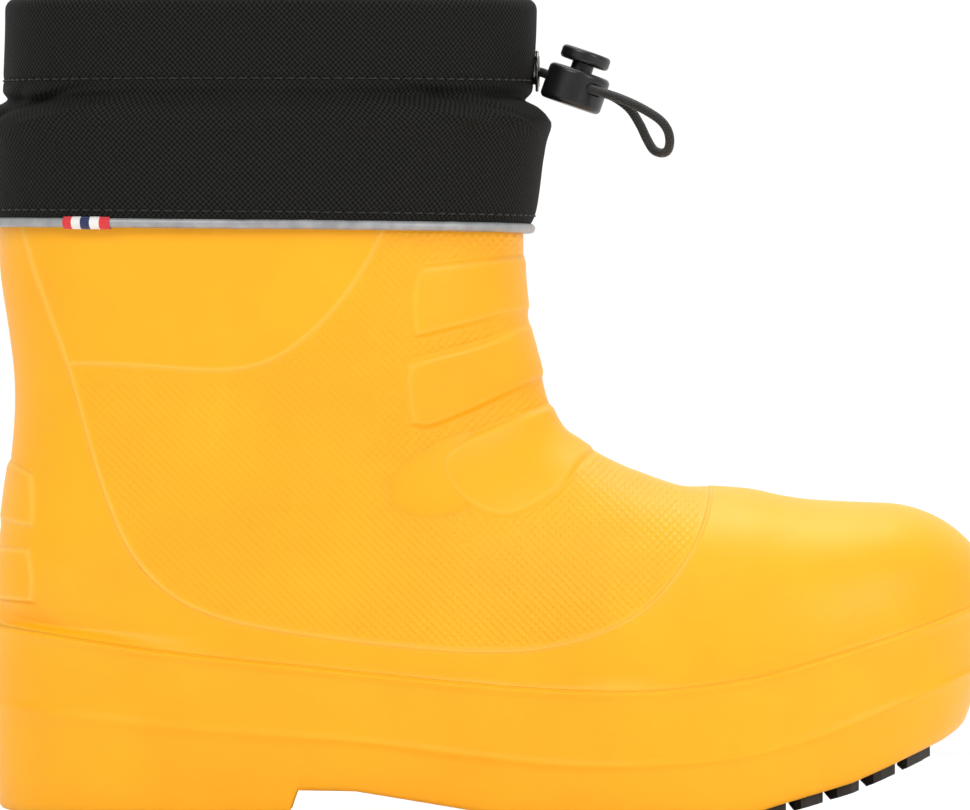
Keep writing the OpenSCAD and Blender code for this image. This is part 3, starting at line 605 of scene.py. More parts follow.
def arch(near, far, t, inset):
    """Points of half a cut at t, from 0 on the middle line to 1 at the ridge or back."""
    (xn, zn), (xr, zr) = near, far
    side_x = value(SIDE_X, zr)
    quarter = xr >= side_x
    slope = 0 if abs(xn - xr) < 1e-9 else (zn - zr) / (xn - xr)

    def on_cut(x):
        return zr + (x - xr) * slope
    n = 2.35 if xr > 45 else 2.2
    if quarter:
        q, w, share, turn = np.array([xr, zr]), float(plan_w(xr)) - inset, 1.0, 0.0
    else:
        z = zr
        for _ in range(3):
            z = on_cut(value(SIDE_X, z))
        q = np.array([value(SIDE_X, z), z])
        w = value(SIDE_W, q[1]) - inset
        sr = min((side_x - xr) / (side_x - value(SHAFT_BACK, zr)), 1)
        turn = math.asin(sr**(HEEL_N / 2))
        front = np.linalg.norm(q - near) + w
        rear = (q[0] - xr) + w * (1 - math.cos(turn))
        share = front / (front + rear)
    a = np.clip(t / share, 0, 1) * math.pi / 2
    along = 1 - np.maximum(np.cos(a), 0)**(2 / n)
    points = np.stack([near[0] + (q[0] - near[0]) * along,
                       w * np.maximum(np.sin(a), 0)**(2 / n),
                       near[1] + (q[1] - near[1]) * along], 1)
    if not quarter:
        past = t > share
        a = turn * (t[past] - share) / (1 - share)
        s = np.sin(a)**(2 / HEEL_N)
        z = np.full(len(s), zr)
        for _ in range(4):
            side = curve(SIDE_X, z)
            x = side + (curve(SHAFT_BACK, z) - side) * s
            z_now, z = z, on_cut(x)
        points[past] = np.stack([x, (curve(SIDE_W, z_now) - inset)
                                 * np.maximum(np.cos(a), 0)**(2 / HEEL_N), z_now], 1)
    return points


# ---- the shell's relief, drawn in side view -----------------------------------------
PAD_RISE, HEEL_RISE, GRAIN_DROP = 0.75, 0.7, 0.25
FAR_OFF = 6.0
SIDE_PANEL = smooth_route(np.array([
    (-152, 139.5), (-109, 138), (-80, 136.5), (-63, 140.6), (-47.4, 153.6), (-35.3, 170.6),
    (-26, 192)]), 5)
BACK_LINE = smooth_route(np.array([
    (-143, 192), (-136.5, 167.6), (-126.5, 139.7), (-115.2, 101), (-103.5, 77.6), (-83.2, 63.9),
    (-45.9, 56.8), (-2.6, 53), (23.8, 55.6), (45.9, 65.1), (60.4, 82.6), (66.2, 98),
    (66.8, 112)]), 5)
PAD_1 = [(-22.6, 150), (-22.9, 160), (-20.8, 167), (-17, 168.2), (11.7, 171.2), (40, 174),
         (40, 156), (11, 155.1), (-6.2, 150.9), (-20.4, 147.4), (-22, 148.2)]
PAD_2 = [(-24.6, 133), (-24.2, 136.5), (-22.3, 139.1), (-1.7, 144.8), (12, 150.6), (40, 158),
         (40, 148), (11.7, 133), (-13.8, 121.4), (-22, 120.6), (-23.4, 123)]
PAD_3 = [(17.4, 125.6), (6.5, 121.5), (-7.4, 115.4), (-13.8, 108.8), (-9.8, 100.3),
         (-0.5, 94.2), (8.9, 94), (20.5, 101.3), (28.9, 111.4), (40, 120), (30, 130)]
HEEL_PAD_A = [(-143.2, 108.9), (-137.4, 105.6), (-136.6, 97), (-136.9, 89.5), (-147, 91.6),
              (-160, 92), (-160, 110)]
HEEL_PAD_B = [(-138.4, 83), (-136.8, 75), (-136.9, 66.8), (-150, 68), (-160, 69), (-160, 84)]


def distance_in(outline, x, z):
    """Distance to a closed outline in side view, positive inside."""
    p = np.asarray(outline, float)
    q = np.roll(p, -1, axis=0)
    point = np.stack([x, z], -1)
    best = np.full(x.shape, 1e9)
    inside = np.zeros(x.shape, bool)
    for a, b in zip(p, q):
        side = b - a
        t = np.clip(((point - a) @ side) / (side @ side), 0, 1)
        best = np.minimum(best, np.linalg.norm(point - a - t[..., None] * side, axis=-1))
        if a[1] != b[1]:
            cross = (a[1] > z) != (b[1] > z)
            inside ^= cross & (x < (b[0] - a[0]) * (z - a[1]) / (b[1] - a[1]) + a[0])
    return np.where(inside, best, -best)


def step(x, low, high):
    """0 below low, 1 above high, and smooth between them."""
    t = np.clip((x - low) / (high - low), 0, 1)
    return t * t * (3 - 2 * t)


def soft_outline(points, steps=5):
    """The closed outline with its corners eased by a smooth curve through its points."""
    p = np.asarray(points, float)
    p = np.concatenate([p[-1:], p, p[:2]])
    out = []
    for i in range(1, len(p) - 2):
        a, b, c, d = p[i - 1], p[i], p[i + 1], p[i + 2]
        for s in range(steps):
            t = s / steps
            out.append(b + (c - a) * t / 2 + (2 * a - 5 * b + 4 * c - d) * t * t / 2
                       + (3 * b - a - 3 * c + d) * t**3 / 2)
    return out


def relief(x, z):
    """Height of the moulded relief, strength of the dots and the distances to its lines."""
    # The grained zone lies ahead of the back line and under the side panel
    zone = distance_in([*BACK_LINE, (60, 140), (60, 200), (-143, 200)], x, z)
    panel = distance_in([*SIDE_PANEL, (-26, 210), (-152, 210)], x, z)
    both = np.minimum(zone, -panel)
    pad = np.maximum.reduce([distance_in(soft_outline(p), x, z) for p in (PAD_1, PAD_2, PAD_3)])
    heel = np.maximum(distance_in(HEEL_PAD_A, x, z), distance_in(HEEL_PAD_B, x, z))
    height = -GRAIN_DROP * step(both, -0.8, 1.2) + PAD_RISE * step(pad, -1.0, 1.4)
    height = height + HEEL_RISE * step(heel, -0.8, 0.8)
    dots = step(both, 0.4, 1.6) * (1 - step(pad, -2.0, -1.0))
    near_lines = np.clip(np.stack([both, pad, heel], -1), -FAR_OFF, FAR_OFF)
    return height, dots, near_lines, np.clip(zone, -FAR_OFF, FAR_OFF)


# ---- the shell ----------------------------------------------------------------------
UP_COLS = 216
TOE_ROWS, HEEL_ROWS = 52, 40
FOOT_X = [TOE_X + (TOE_END - TOE_X) * math.cos(math.radians(3 + 87 * i / TOE_ROWS))**(2 / TOE_N)
          for i in range(TOE_ROWS)]
ARCH_X = [-57.5, -58.7, -60]
MID_X = [*np.linspace(TOE_X, -57, 92), *ARCH_X, *np.linspace(-61.5, HEEL_X, 24)[:-1]]
BACK_X = [HEEL_X + (HEEL_BACK - HEEL_X) * math.sin(math.pi / 2 * i / HEEL_ROWS)**(2 / HEEL_N)
          for i in range(HEEL_ROWS + 1)]
RIDGE_X = FOOT_X + MID_X + BACK_X
LAST_RIDGE = len(RIDGE_X) - 1
BACK_Z = list(np.linspace(up_edge(HEEL_BACK) + 1.3, RIM_Z, 96))
# The sole's rings, from the ridge round to the underside. Each has its shares of the ridge's,
# lower line's and base's heights, its move inwards, more of that at the toe, and its share of
# the treads' recess
EDGE = [
    (1, 0, 0, 0.5, 0, 0), (1, 0, 0, 0.1, 0, 0), (0.985, 0.015, 0, -0.1, 0, 0),
    (0.95, 0.05, 0, 0, 0, 0), (0.91, 0.09, 0, 0.45, 0, 0), (0.86, 0.14, 0, 0.75, 0, 0),
    (0.7, 0.3, 0, 0.85, 0.2, 0), (0.5, 0.5, 0, 0.95, 0.4, 0), (0.3, 0.7, 0, 1.0, 0.6, 0),
    (0.12, 0.88, 0, 1.05, 0.8, 0), (0.06, 0.94, 0, 0.95, 0.8, 0), (0.02, 0.98, 0, 0.55, 0.8, 0),
    (0, 0.99, 0.01, 0.5, 0.8, 0), (0, 0.955, 0.045, 0.75, 0.9, 0), (0, 0.9, 0.1, 1.25, 1.1, 0),
    (0, 0.82, 0.18, 1.45, 1.4, 0), (0, 0.6, 0.4, 1.7, 2.4, 0), (0, 0.4, 0.6, 1.9, 3.4, 0),
    (0, 0.22, 0.78, 2.1, 4.3, 0), (0, 0.1, 0.9, 2.35, 5.0, 0), (0, 0.05, 0.95, 2.6, 5.6, 0),
    (0, 0.015, 0.985, 3.1, 6.3, 0), (0, 0, 1, 3.9, 7.1, 0), (0, 0, 1, 4.2, 7.5, 0.1),
    (0, 0, 1, 4.4, 7.8, 1)]
HOLLOW_TOP = [[45, 101.5], [60, 97], [90, 93.5], [118, 91], [132, 86], [143, 72]]
HOLLOW_FLOOR = [[45, 17.5], [70, 18], [100, 22], [125, 30], [143, 46]]
HOLLOW_W = [[45, 46], [70, 47.5], [100, 41], [120, 30.5], [134, 18], [143, 5]]
HOLLOW_BACK = seen([[45, 17.5], [0, 19], [-50, 22], [-100, 24], [-126, 28], [-139, 40],
                    [-144.5, 60], [-142.2, 90], [-138.4, 118], [-140.8, 150]])
FAN_W = [[0, 46], [20, 40], [38, 35.5], [60, 36], [75, 38], [90, 41.5]]
HOLLOW_X = [143, 140, 134, 125, 114, 102, 90, 78, 66, 55]
FAN_A = [0, 8, 16, 24, 31, 37, 43, 48, 52, 56, 60, 64, 69, 75, 82]
RIM_W = [[150, 41.5], [175, 43], [192, 44]]
EASE_FROM, EASE_TO, EASE_ROWS, EASE_TIMES = 78, 150, 22, 260


def hollow_cuts(shrink, heights):
    """Closed cuts of the space inside: near, far, half width and the two exponents."""
    cuts = [(np.array([x, value(HOLLOW_TOP, x) - shrink]),
             np.array([x, value(HOLLOW_FLOOR, x) + shrink]),
             max(value(HOLLOW_W, x) - shrink, 1.5), 2.4, 4.5) for x in HOLLOW_X]
    for angle in FAN_A:
        way = np.array([math.sin(math.radians(angle)), math.cos(math.radians(angle))])
        cuts.append((ray_end(INSTEP_SEEN, angle) - way * (shrink + WALL_T + 0.6),
                     ray_end(HOLLOW_BACK, angle) + shrink * way,
                     value(FAN_W, angle) - shrink, 2.3,
                     4.5 - angle / 26 if angle < 52 else 2.4))
    for z in heights:
        cuts.append((np.array([value(SHAFT_FRONT, z) - WALL_T - shrink, z]),
                     np.array([value(SHAFT_BACK, z) + WALL_T + shrink, z]),
                     value(RIM_W, z) - shrink, 2.2, 2.3))
    return cuts


def placed(points, side):
    """Half-cut points (x, half width, z) put on one side of the boot's middle line."""
    out = points.copy()
    out[:, 1] = curve(MIDDLE, points[:, 0]) + side * points[:, 1]
    return out


def oval(cut, columns):
    """A closed ring of points round a cut of the space inside."""
    near, far, width, n_near, n_far = cut
    t = np.arange(columns) / columns * 2 - 1
    a = np.abs(t) * math.pi
    first = a <= math.pi / 2
    b = np.where(first, a, math.pi - a)
    n = np.where(first, n_near, n_far)
    along = 1 - np.maximum(np.cos(b), 0)**(2 / n)
    middle = (near + far) / 2
    end = np.where(first[:, None], near, far)
    flat = end + (middle - end) * along[:, None]
    wide = width * np.maximum(np.sin(b), 0)**(2 / n)
    points = np.stack([flat[:, 0], wide, flat[:, 1]], 1)
    return placed(points, np.sign(t))


def row_points(near, far):
    """One row of the upper, from the outer side over the front to the inner side."""
    t = np.linspace(-1, 1, UP_COLS + 1)
    points = arch(near, far, np.abs(t), RIDGE_LIP)
    return placed(points, np.sign(t))


def edge_rings():
    """The sole's rings: outer side, heel, and back along the inner side."""
    x = np.array(RIDGE_X)
    lateral = np.stack([x, curve(MIDDLE, x) - plan_w(x)], 1)
    medial = np.stack([x, curve(MIDDLE, x) + plan_w(x)], 1)[:-1][::-1]
    plan = np.concatenate([lateral, medial])
    along = unit(np.roll(plan, -1, axis=0) - np.roll(plan, 1, axis=0))
    outward = np.stack([along[:, 1], -along[:, 0]], 1)
    toe = np.maximum((plan[:, 0] - 60) / 92, 0)**2
    rings = []
    for ridge, lower, base, inset, extra, recess in EDGE:
        q = plan + outward * (inset + extra * toe)[:, None]
        z = (ridge * curve(RIDGE, plan[:, 0]) + lower * curve(LOWER, plan[:, 0])
             + base * line_at(BASE, q[:, 0]) + recess * TREAD_T)
        rings.append(np.concatenate([q, z[:, None]], 1))
    return rings


def ease(upper):
    """Ease the rows along the side, so that the front's corners and the change to cuts that
    close round the heel don't run down it; the front line itself stays as it is."""
    row = np.arange(len(upper))
    first = int(np.argmin(np.abs(np.array(RIDGE_X) - EASE_FROM)))
    last = LAST_RIDGE + int(np.argmin(np.abs(np.array(BACK_Z) - EASE_TO)))
    by_row = np.clip((row - first) / EASE_ROWS, 0, 1) * np.clip((last - row) / EASE_ROWS, 0, 1)
    from_front = np.abs(np.linspace(-1, 1, upper.shape[1]))
    by_column = step(from_front, 0.03, 0.3) * np.clip((1 - from_front) * 40, 0, 1)
    weight = (by_row[:, None] * by_column[None, :])[..., None]
    for _ in range(EASE_TIMES):
        soft = (upper[:-2] + 2 * upper[1:-1] + upper[2:]) / 4
        upper[1:-1] += (soft - upper[1:-1]) * weight[1:-1]


def make_shell():
    """The moulded foam shell: upper, sole edge, underside and the space inside."""
    columns = UP_COLS + 1
    rows = [row_points(near_of(x, up_edge(x)), np.array([x, up_edge(x)])) for x in RIDGE_X]
    for z in BACK_Z:
        x = value(SHAFT_BACK, z)
        rows.append(row_points(near_of(x, z), np.array([x, z])))
    upper = np.array(rows)
    ease(upper)
    along_rows = np.gradient(upper, axis=0)
    along_cols = np.gradient(upper, axis=1)
    normal = unit(np.cross(along_cols, along_rows))
    height, dots, edges_near, back_line = relief(upper[..., 0], upper[..., 2])
    fade = step(upper[..., 2] - curve(RIDGE, upper[..., 0]), 1.3, 4.0)
    upper = upper + normal * (height * fade)[..., None]
    count = len(rows)
    edges = np.array(edge_rings())
    around = edges.shape[1]
    inner = np.array([oval(c, UP_COLS) for c in hollow_cuts(0, [150, 162, 175, RIM_Z])])
    vertices = np.concatenate([upper.reshape(-1, 3), edges.reshape(-1, 3), inner.reshape(-1, 3)])
    edge_start, inner_start = count * columns, count * columns + len(EDGE) * around

    def up(i, j):
        return i * columns + (j % UP_COLS if i >= LAST_RIDGE else j)

    def at(r, q):
        q %= around
        if r < 0:
            return up(q, 0) if q <= LAST_RIDGE else up(2 * LAST_RIDGE - q, UP_COLS)
        return edge_start + r * around + q

    def hole(i, j):
        return inner_start + i * UP_COLS + j % UP_COLS

    faces = [(up(i, j), up(i, j + 1), up(i + 1, j + 1), up(i + 1, j))
             for i in range(count - 1) for j in range(UP_COLS)]
    faces.append(tuple(up(0, j) for j in range(UP_COLS, -1, -1)))
    faces += [(at(r, q), at(r, q + 1), at(r + 1, q + 1), at(r + 1, q))
              for r in range(-1, len(EDGE) - 1) for q in range(around)]
    last = len(EDGE) - 1
    faces += [(at(last, q), at(last, q + 1), at(last, 2 * LAST_RIDGE - q - 1),
               at(last, 2 * LAST_RIDGE - q)) for q in range(LAST_RIDGE - 1)]
    faces.append((at(last, LAST_RIDGE - 1), at(last, LAST_RIDGE), at(last, LAST_RIDGE + 1)))
    top, inside = count - 1, len(inner) - 1
    faces += [(up(top, j), up(top, j + 1), hole(inside, j + 1), hole(inside, j))
              for j in range(UP_COLS)]
    faces += [(hole(i, j), hole(i + 1, j), hole(i + 1, j + 1), hole(i, j + 1))
              for i in range(inside) for j in range(UP_COLS)]
    faces.append(tuple(hole(0, j) for j in range(UP_COLS)))
    strength = np.concatenate([dots.ravel(), np.zeros(len(vertices) - dots.size)])
    grid = np.stack([vertices[:, 0], vertices[:, 2], 0 * vertices[:, 0]], 1)
    lines = np.full((len(vertices), 3), -FAR_OFF)
    lines[:dots.size] = edges_near.reshape(-1, 3)
    strip = np.full(len(vertices), FAR_OFF)
    strip[:dots.size] = back_line.ravel()
    # Vertices that no face uses are left out
    used = np.unique(np.concatenate([np.array(f) for f in faces]))
    index = np.full(len(vertices), -1)
    index[used] = np.arange(len(used))
    faces = [tuple(int(index[v]) for v in f) for f in faces]
    piece("foam_shell", vertices[used], faces, "eva_foam", "eva_shell", dots=strength[used],
          grid=grid[used], edges=lines[used], back_line=strip[used])


make_shell()

# ---- collar: level loops about the shaft, the same as the CAD model's ----------------
LOOP_MID = -69
CUFF_FRONT = [[182, 13.3], [188, 14.8], [198, 16.2], [211.5, 17.4], [216, 15.4], [219.5, 13.5],
              [228, 13.9], [240, 14.5], [256, 14.8]]
CUFF_BACK = [[182, -151.2], [190, -151.6], [211.5, -151.6], [217, -149.5], [223, -147],
             [256, -146.4]]
CUFF_W = [[182, 49.2], [190, 51], [205, 52.5], [212, 52.5], [218, 50], [223, 49], [256, 49.5]]
CUFF_LOW, COLLAR_TOP = height_of("collar_cuff")
FABRIC_T, TUNNEL_GAP, SOFT_GAP = 1.0, 5.0, 0.4
TUNNEL_TALL, HEM_UP = 25, 1.6
TUNNEL_Z = COLLAR_TOP - TUNNEL_TALL
HEM_Z = CUFF_LOW + HEM_UP


def piping_drop(a):
    """The piping sits a little lower at the front than at the back."""
    return -0.3 - 0.85 * np.cos(np.radians(a))


def loop_xy(front, back, width, a):
    """Plan of a level loop at angle a in degrees; 0 is the front and -90 the outer side."""
    c, s = np.cos(np.radians(a)), np.sin(np.radians(a))
    n = np.where(c > 0, 2.2, HEEL_N)
    x = LOOP_MID + np.where(c > 0, front - LOOP_MID, back - LOOP_MID) * np.abs(c)**(2 / n)
    return x, np.sign(s) * width * np.abs(s)**(2 / n)


def cuff_pt(z, a, d):
    """Point of the collar at height z and angle a, moved inwards by d."""
    z, a, d = np.broadcast_arrays(np.asarray(z, float), a, d)
    x, y = loop_xy(curve(CUFF_FRONT, z) - d, curve(CUFF_BACK, z) + d, curve(CUFF_W, z) - d, a)
    return np.stack([x, y, z], -1)


def even_angles(count, z=205.0):
    """Angles of evenly spaced points round the collar, from the back seam, and their places."""
    fine = np.linspace(-180, 180, 4001)
    points = cuff_pt(z, fine, 0.0)
    length = run_length(points)
    at = np.arange(count) / count * length[-1]
    return np.interp(at, length, fine), at, length[-1]


def fold(a, z, size, centre, wide, high, tall, lean=0):
    """The height, at angle a and height z, of one crease that leans as it rises."""
    off = (a - centre - lean * (z - high) + 180) % 360 - 180
    return size * np.exp(-(off / wide)**2 - ((z - high) / tall)**2)


# By the front and the back of each side: angle, lean, width, height, length and size
LONG_FOLDS = (
    (-40, -3.2, 4.5, 217, 5, -1.9), (-52, -3.6, 5, 214, 5, 1.1), (-30, -2.6, 4, 213, 6, 1.2),
    (-146, 3.4, 4.5, 218, 5, -1.9), (-132, 3.8, 5, 214.5, 5, 1.0), (38, 3.0, 4.5, 217, 5, -1.7),
    (50, 3.2, 5, 213, 6, 1.1), (148, -3.2, 5, 218, 5, -1.7), (134, -3.4, 5, 214, 5, 1.0),
    (-90, 1.5, 14, 236, 9, -0.5), (-60, 0.5, 9, 238, 10, 0.4))
FOLD_SEED, GATHERS, SLACK_SPOTS = 7, 46, 14


def fold_depth(a, z):
    """How far the cloth of the collar stands out from its plain shape, in millimetres."""
    rng = np.random.default_rng(FOLD_SEED)
    ends = np.abs(np.cos(np.radians(a)))**1.5
    # The crease under the tunnel, deep at the front and back, and the puffed cloth below it
    dip = 219.3 - 1.6 * np.sin(np.radians(a * 2 + 20)) * ends
    out = (1.1 + 0.2 * ends) * np.exp(-((z - dip + 6.5) / 4.2)**2)
    out -= (1.0 + 1.8 * ends) * np.exp(-((z - dip) / 1.7)**2)
    # Gathers that run down from the seam
    for _ in range(GATHERS):
        centre, wide = rng.uniform(-180, 180), rng.uniform(2.2, 6.0)
        lean, tall = rng.uniform(-1.4, 1.4), rng.uniform(4, 10)
        high, size = rng.uniform(209, 221), rng.uniform(-1.1, 1.1)
        out += (0.5 + 0.5 * ends) * fold(a, z, size, centre, wide, high, tall, lean)
    for centre, lean, wide, high, tall, size in LONG_FOLDS:
        out += fold(a, z, size, centre, wide, high, tall, lean)
    # Slack of the tunnel and of the cuff's lower part
    for _ in range(SLACK_SPOTS):
        centre, wide, high = rng.uniform(-180, 180), rng.uniform(9, 22), rng.uniform(190, 246)
        out += fold(a, z, rng.uniform(-0.45, 0.45), centre, wide, high, 9)
    held = 1 - np.exp(-((z - TUNNEL_Z) / 1.6)**2)
    return out * held * step(z, CUFF_LOW, CUFF_LOW + 6) * (1 - step(z, 243, 248) * 0.7)


def seam_dip(at, z, pitch):
    """The dent that a row of stitches pulls into the cloth."""
    pull = 0.65 + 0.35 * np.cos(2 * math.pi * at / pitch)
    return 0.42 * pull * (np.exp(-((z - TUNNEL_Z) / 0.7)**2) + np.exp(-((z - HEM_Z) / 0.6)**2))


STITCH_COUNT, EYELET_ROOM = 120, 8.3
OUTER_ROWS = 72


def make_collar_cloth():
    """The woven cuff in one cloth: up from its hem, over the top and down inside the tunnel."""
    columns = 500
    a, at, around = even_angles(columns)
    pitch = around / STITCH_COUNT
    half, over = FABRIC_T / 2, TUNNEL_GAP / 2 + FABRIC_T
    bend_z = COLLAR_TOP - over
    rise = np.concatenate([[CUFF_LOW - 1.6, CUFF_LOW - 0.9], np.linspace(CUFF_LOW, 212, 26),
                           np.linspace(212.6, 228, 30), np.linspace(229.2, bend_z, 14)])
    line = [(half, z, 0.0) for z in rise]
    turn = [(over - (over - half) * math.cos(t), bend_z + (over - half) * math.sin(t), t)
            for t in np.linspace(0, math.pi, 11)[1:]]
    line += turn + [(2 * over - half, z, math.pi) for z in (243, 239)]
    path = np.array(line)

    def side(rows, sign):
        d = rows[:, 0] - sign * half * np.cos(rows[:, 2])
        z = rows[:, 1] + sign * half * np.sin(rows[:, 2])
        outer = rows[:, 2] < 0.1
        out = []
        for depth, high, flat_z, first in zip(d, z, rows[:, 1], outer):
            moved = fold_depth(a, flat_z) - seam_dip(at, flat_z, pitch) if first else 0.0
            tucked = 0.9 * (1 - step(flat_z, CUFF_LOW - 1.8, CUFF_LOW + 1.2))
            ring = cuff_pt(high, a, depth - moved + tucked)
            ring[:, 2] += piping_drop(a) * (1 - step(flat_z, CUFF_LOW, CUFF_LOW + 22))
            out.append(ring)
        return np.array(out)

    def sparse(rows):
        return np.concatenate([rows[:OUTER_ROWS:3], rows[OUTER_ROWS:]])[::-1]

    rings = np.concatenate([side(path, 1), side(sparse(path), -1)])
    run = run_length(path[:, :2])
    rows = np.concatenate([run, sparse(run)])
    faces = grid_faces(len(rows), columns, wrap_rows=True, wrap_columns=True)
    cloth = piece("collar_cloth", rings, faces, "collar_nylon", "collar_cuff",
                  yarn=yarn_grid(at, rows))
    return a, at, pitch


def cloth_band(name, heights, depth, thick, slot_name, node, columns=240, angles=None):
    """A smooth band of cloth inside the collar."""
    if angles is None:
        a, at, around = even_angles(columns)
        closed = True
    else:
        a, closed = np.linspace(*angles, columns), False
        at = np.linspace(0, 1, columns) * np.linalg.norm(
            cuff_pt(210, angles[0], depth) - cuff_pt(210, angles[1], depth))
        around = at[-1]
    z = np.concatenate([heights, heights[::-1]])
    d = np.concatenate([np.full(len(heights), depth), np.full(len(heights), depth + thick)])
    rings = np.array([cuff_pt(high, a, far) for high, far in zip(z, d)])
    faces = grid_faces(len(z), columns, wrap_rows=True, wrap_columns=closed)
    if not closed:
        last = columns - 1
        faces += [tuple(i * columns for i in range(len(z))),
                  tuple(i * columns + last for i in reversed(range(len(z))))]
    band = piece(name, rings, faces, slot_name, node, yarn=yarn_grid(at, z))


def make_stitches(a, at, pitch):
    """Two rows of thread, each stitch a short bowed capsule that dips into the cloth."""
    vertices, faces, yarn = [], [], []
    sides, rings = 6, 7
    radius, half_length = 0.26, 1.3
    for z in (TUNNEL_Z, HEM_Z):
        for i in range(STITCH_COUNT):
            place = (i + 0.5) * pitch
            angle = np.interp(place, at, a)
            centre = cuff_pt(z, angle, 0.1)
            centre[2] += piping_drop(angle) if z < 200 else 0
            ahead = unit(cuff_pt(z, angle + 0.3, 0.1) - cuff_pt(z, angle - 0.3, 0.1))
            if np.linalg.norm(centre - EYELET) < EYELET_ROOM:
                continue
            out = np.array([ahead[1], -ahead[0], 0])
            start = len(vertices)
            for r in range(rings):
                t = r / (rings - 1) * 2 - 1
                middle = centre + ahead * half_length * t + out * (0.18 - 0.42 * t**4)
                size = radius * math.sqrt(max(1 - abs(t)**6, 0.02))
                for s in range(sides):
                    b = s * 2 * math.pi / sides
                    vertices.append(middle + size * (math.cos(b) * out
                                                     + math.sin(b) * np.array([0, 0, 1])))
                    yarn.append((t * half_length, b * radius, 0))
            faces += [tuple(v + start for v in f) for f in closed_tube(rings, sides)]
    piece("stitch_threads", vertices, faces, "thread", "collar_stitching", yarn=yarn)


COLLAR_A, COLLAR_AT, STITCH_PITCH = make_collar_cloth()
cloth_band("lining_band", np.linspace(*height_of("collar_lining"), 14), FABRIC_T + 1.6, FABRIC_T,
           "lining_fabric", "collar_lining")
cloth_band("tunnel_cloth", np.linspace(height_of("tunnel_facing")[0], COLLAR_TOP - 3.5, 12),
           FABRIC_T + TUNNEL_GAP + 1.0, FABRIC_T, "collar_nylon", "tunnel_facing")
cloth_band("back_tape", np.linspace(*height_of("back_seam_tape"), 16), FABRIC_T + 0.2, 0.6,
           "seam_tape", "back_seam_tape", 16, (173, 187))
make_stitches(COLLAR_A, COLLAR_AT, STITCH_PITCH)

# ---- piping and its ribbon tab --------------------------------------------------------
PIPING_Z = float(np.mean(height_of("piping_cover")))
PIPING_R, PIPING_GAP = 1.5, 0.35
TAB_A = (-132, -119)
TAB_T = 0.4
KINKS, KINK_SEED = 30, 3


def piping_frame(a):
    """Centre of the piping at angle a, and its outward direction, in plan."""
    d = PIPING_R + PIPING_GAP
    front, back = curve(SHAFT_FRONT, PIPING_Z) + d, curve(SHAFT_BACK, PIPING_Z) - d
    width = curve(SIDE_W, PIPING_Z) - RIDGE_LIP + d

    def at(b):
        return np.stack(loop_xy(front, back, width, b), -1)
    along = unit(at(a + 0.5) - at(a - 0.5))
    return at(a), np.stack([along[..., 1], -along[..., 0]], -1)


def piping_rings(a, radius, b):
    """Rings of points about the piping: one ring for each angle a, points at turns b."""
    centre, out = piping_frame(a)
    b = np.radians(b)
    flat = centre[:, None] + out[:, None] * (radius * np.cos(b))[None, :, None]
    z = PIPING_Z + piping_drop(a)[:, None] + (radius * np.sin(b))[None, :]
    return np.concatenate([flat, z[..., None]], -1)


def make_piping():
    """The reflective tape folded round the piping's cord."""
    columns, sides = 400, 18
    a, at, _ = even_angles(columns)
    b = np.arange(sides) * 360 / sides
    rings = piping_rings(a, np.full(sides, PIPING_R), b)
    # The tape's fold, with a few soft kinks
    rng = np.random.default_rng(KINK_SEED)
    for place in rng.uniform(0, at[-1], KINKS):
        near = np.exp(-((at - place) / 2.2)**2) * rng.uniform(-0.12, 0.12)
        rings[..., 2] += near[:, None]
    faces = grid_faces(columns, sides, wrap_rows=True, wrap_columns=True, flip=True)
    piece("piping_tape", rings, faces, "reflective", "piping_cover")


def make_core():
    """The cord inside the piping."""
    columns, sides = 300, 12
    a, at, _ = even_angles(columns)
    rings = piping_rings(a, np.full(sides, 0.8), np.arange(sides) * 360 / sides)
    yarn = yarn_grid(np.arange(sides) * 0.42, at)[:, [1, 0, 2]]
    faces = grid_faces(columns, sides, wrap_rows=True, wrap_columns=True, flip=True)
    piece("piping_inner", rings, faces, "piping_cord", "piping_core", yarn=yarn)


def make_tab():
    """The ribbon tab folded round the piping."""
    columns, turns = 41, np.linspace(-112, 112, 33)
    a = np.linspace(*TAB_A, columns)
    outer = piping_rings(a, np.full(len(turns), PIPING_R + 0.1 + TAB_T), turns)
    inner = piping_rings(a, np.full(len(turns), PIPING_R + 0.1), turns[::-1])
    rings = np.concatenate([outer, inner], axis=1)
    count = rings.shape[1]
    across = np.repeat(np.linspace(0.001, 0.999, columns), count)
    along = np.tile(np.concatenate([turns, turns[::-1]]) * 0.035, columns)
    faces = grid_faces(columns, count, wrap_columns=True, flip=True)
    faces += caps(columns, count)
    piece("ribbon_tab", rings, faces, "ribbon", "striped_tab",
          yarn=np.stack([across, along, 0 * along], 1))


make_piping()
make_core()
make_tab()

# ---- liner and footbed ----------------------------------------------------------------
FELT_T, LINER_TOP = 4.0, height_of("liner_bootie")[1]
LINER_COLS = 150
LUMP_T, LUMP_SEED = 0.8, 11
LINER_Z = [150, 156, 163, 170, 176, 183, 190, 197, 205, 211, 216, 220]
BED_FLOOR = [[-122, 35.4], [-107, 35.4], [-86, 34.4], [-52, 32.2], [-16, 30.4], [2, 29.8],
             [20, 29], [38, 27.8], [56, 27], [72, 26.8], [86, 27.9], [98, 29.4], [107, 31.4],
             [116, 34.8]]
BED_W = [[-122, 9.5], [-114, 14], [-107, 17], [-98, 19], [-86, 20], [-52, 20.5], [-34, 22],
         [-16, 25], [2, 28.6], [20, 31.6], [38, 33.2], [56, 33.6], [72, 33], [86, 31], [98, 27],
         [107, 22.5], [116, 16]]
BOARD_T, BED_FOAM_T, COVER_T = 1.5, 4.0, 0.8


def denser(rows, times):
    """More rings between a stack of rings, by straight mixing."""
    rows = np.asarray(rows)
    out = []
    for a, b in zip(rows[:-1], rows[1:]):
        out += [a + (b - a) * s / times for s in range(times)]
    return np.array(out + [rows[-1]])


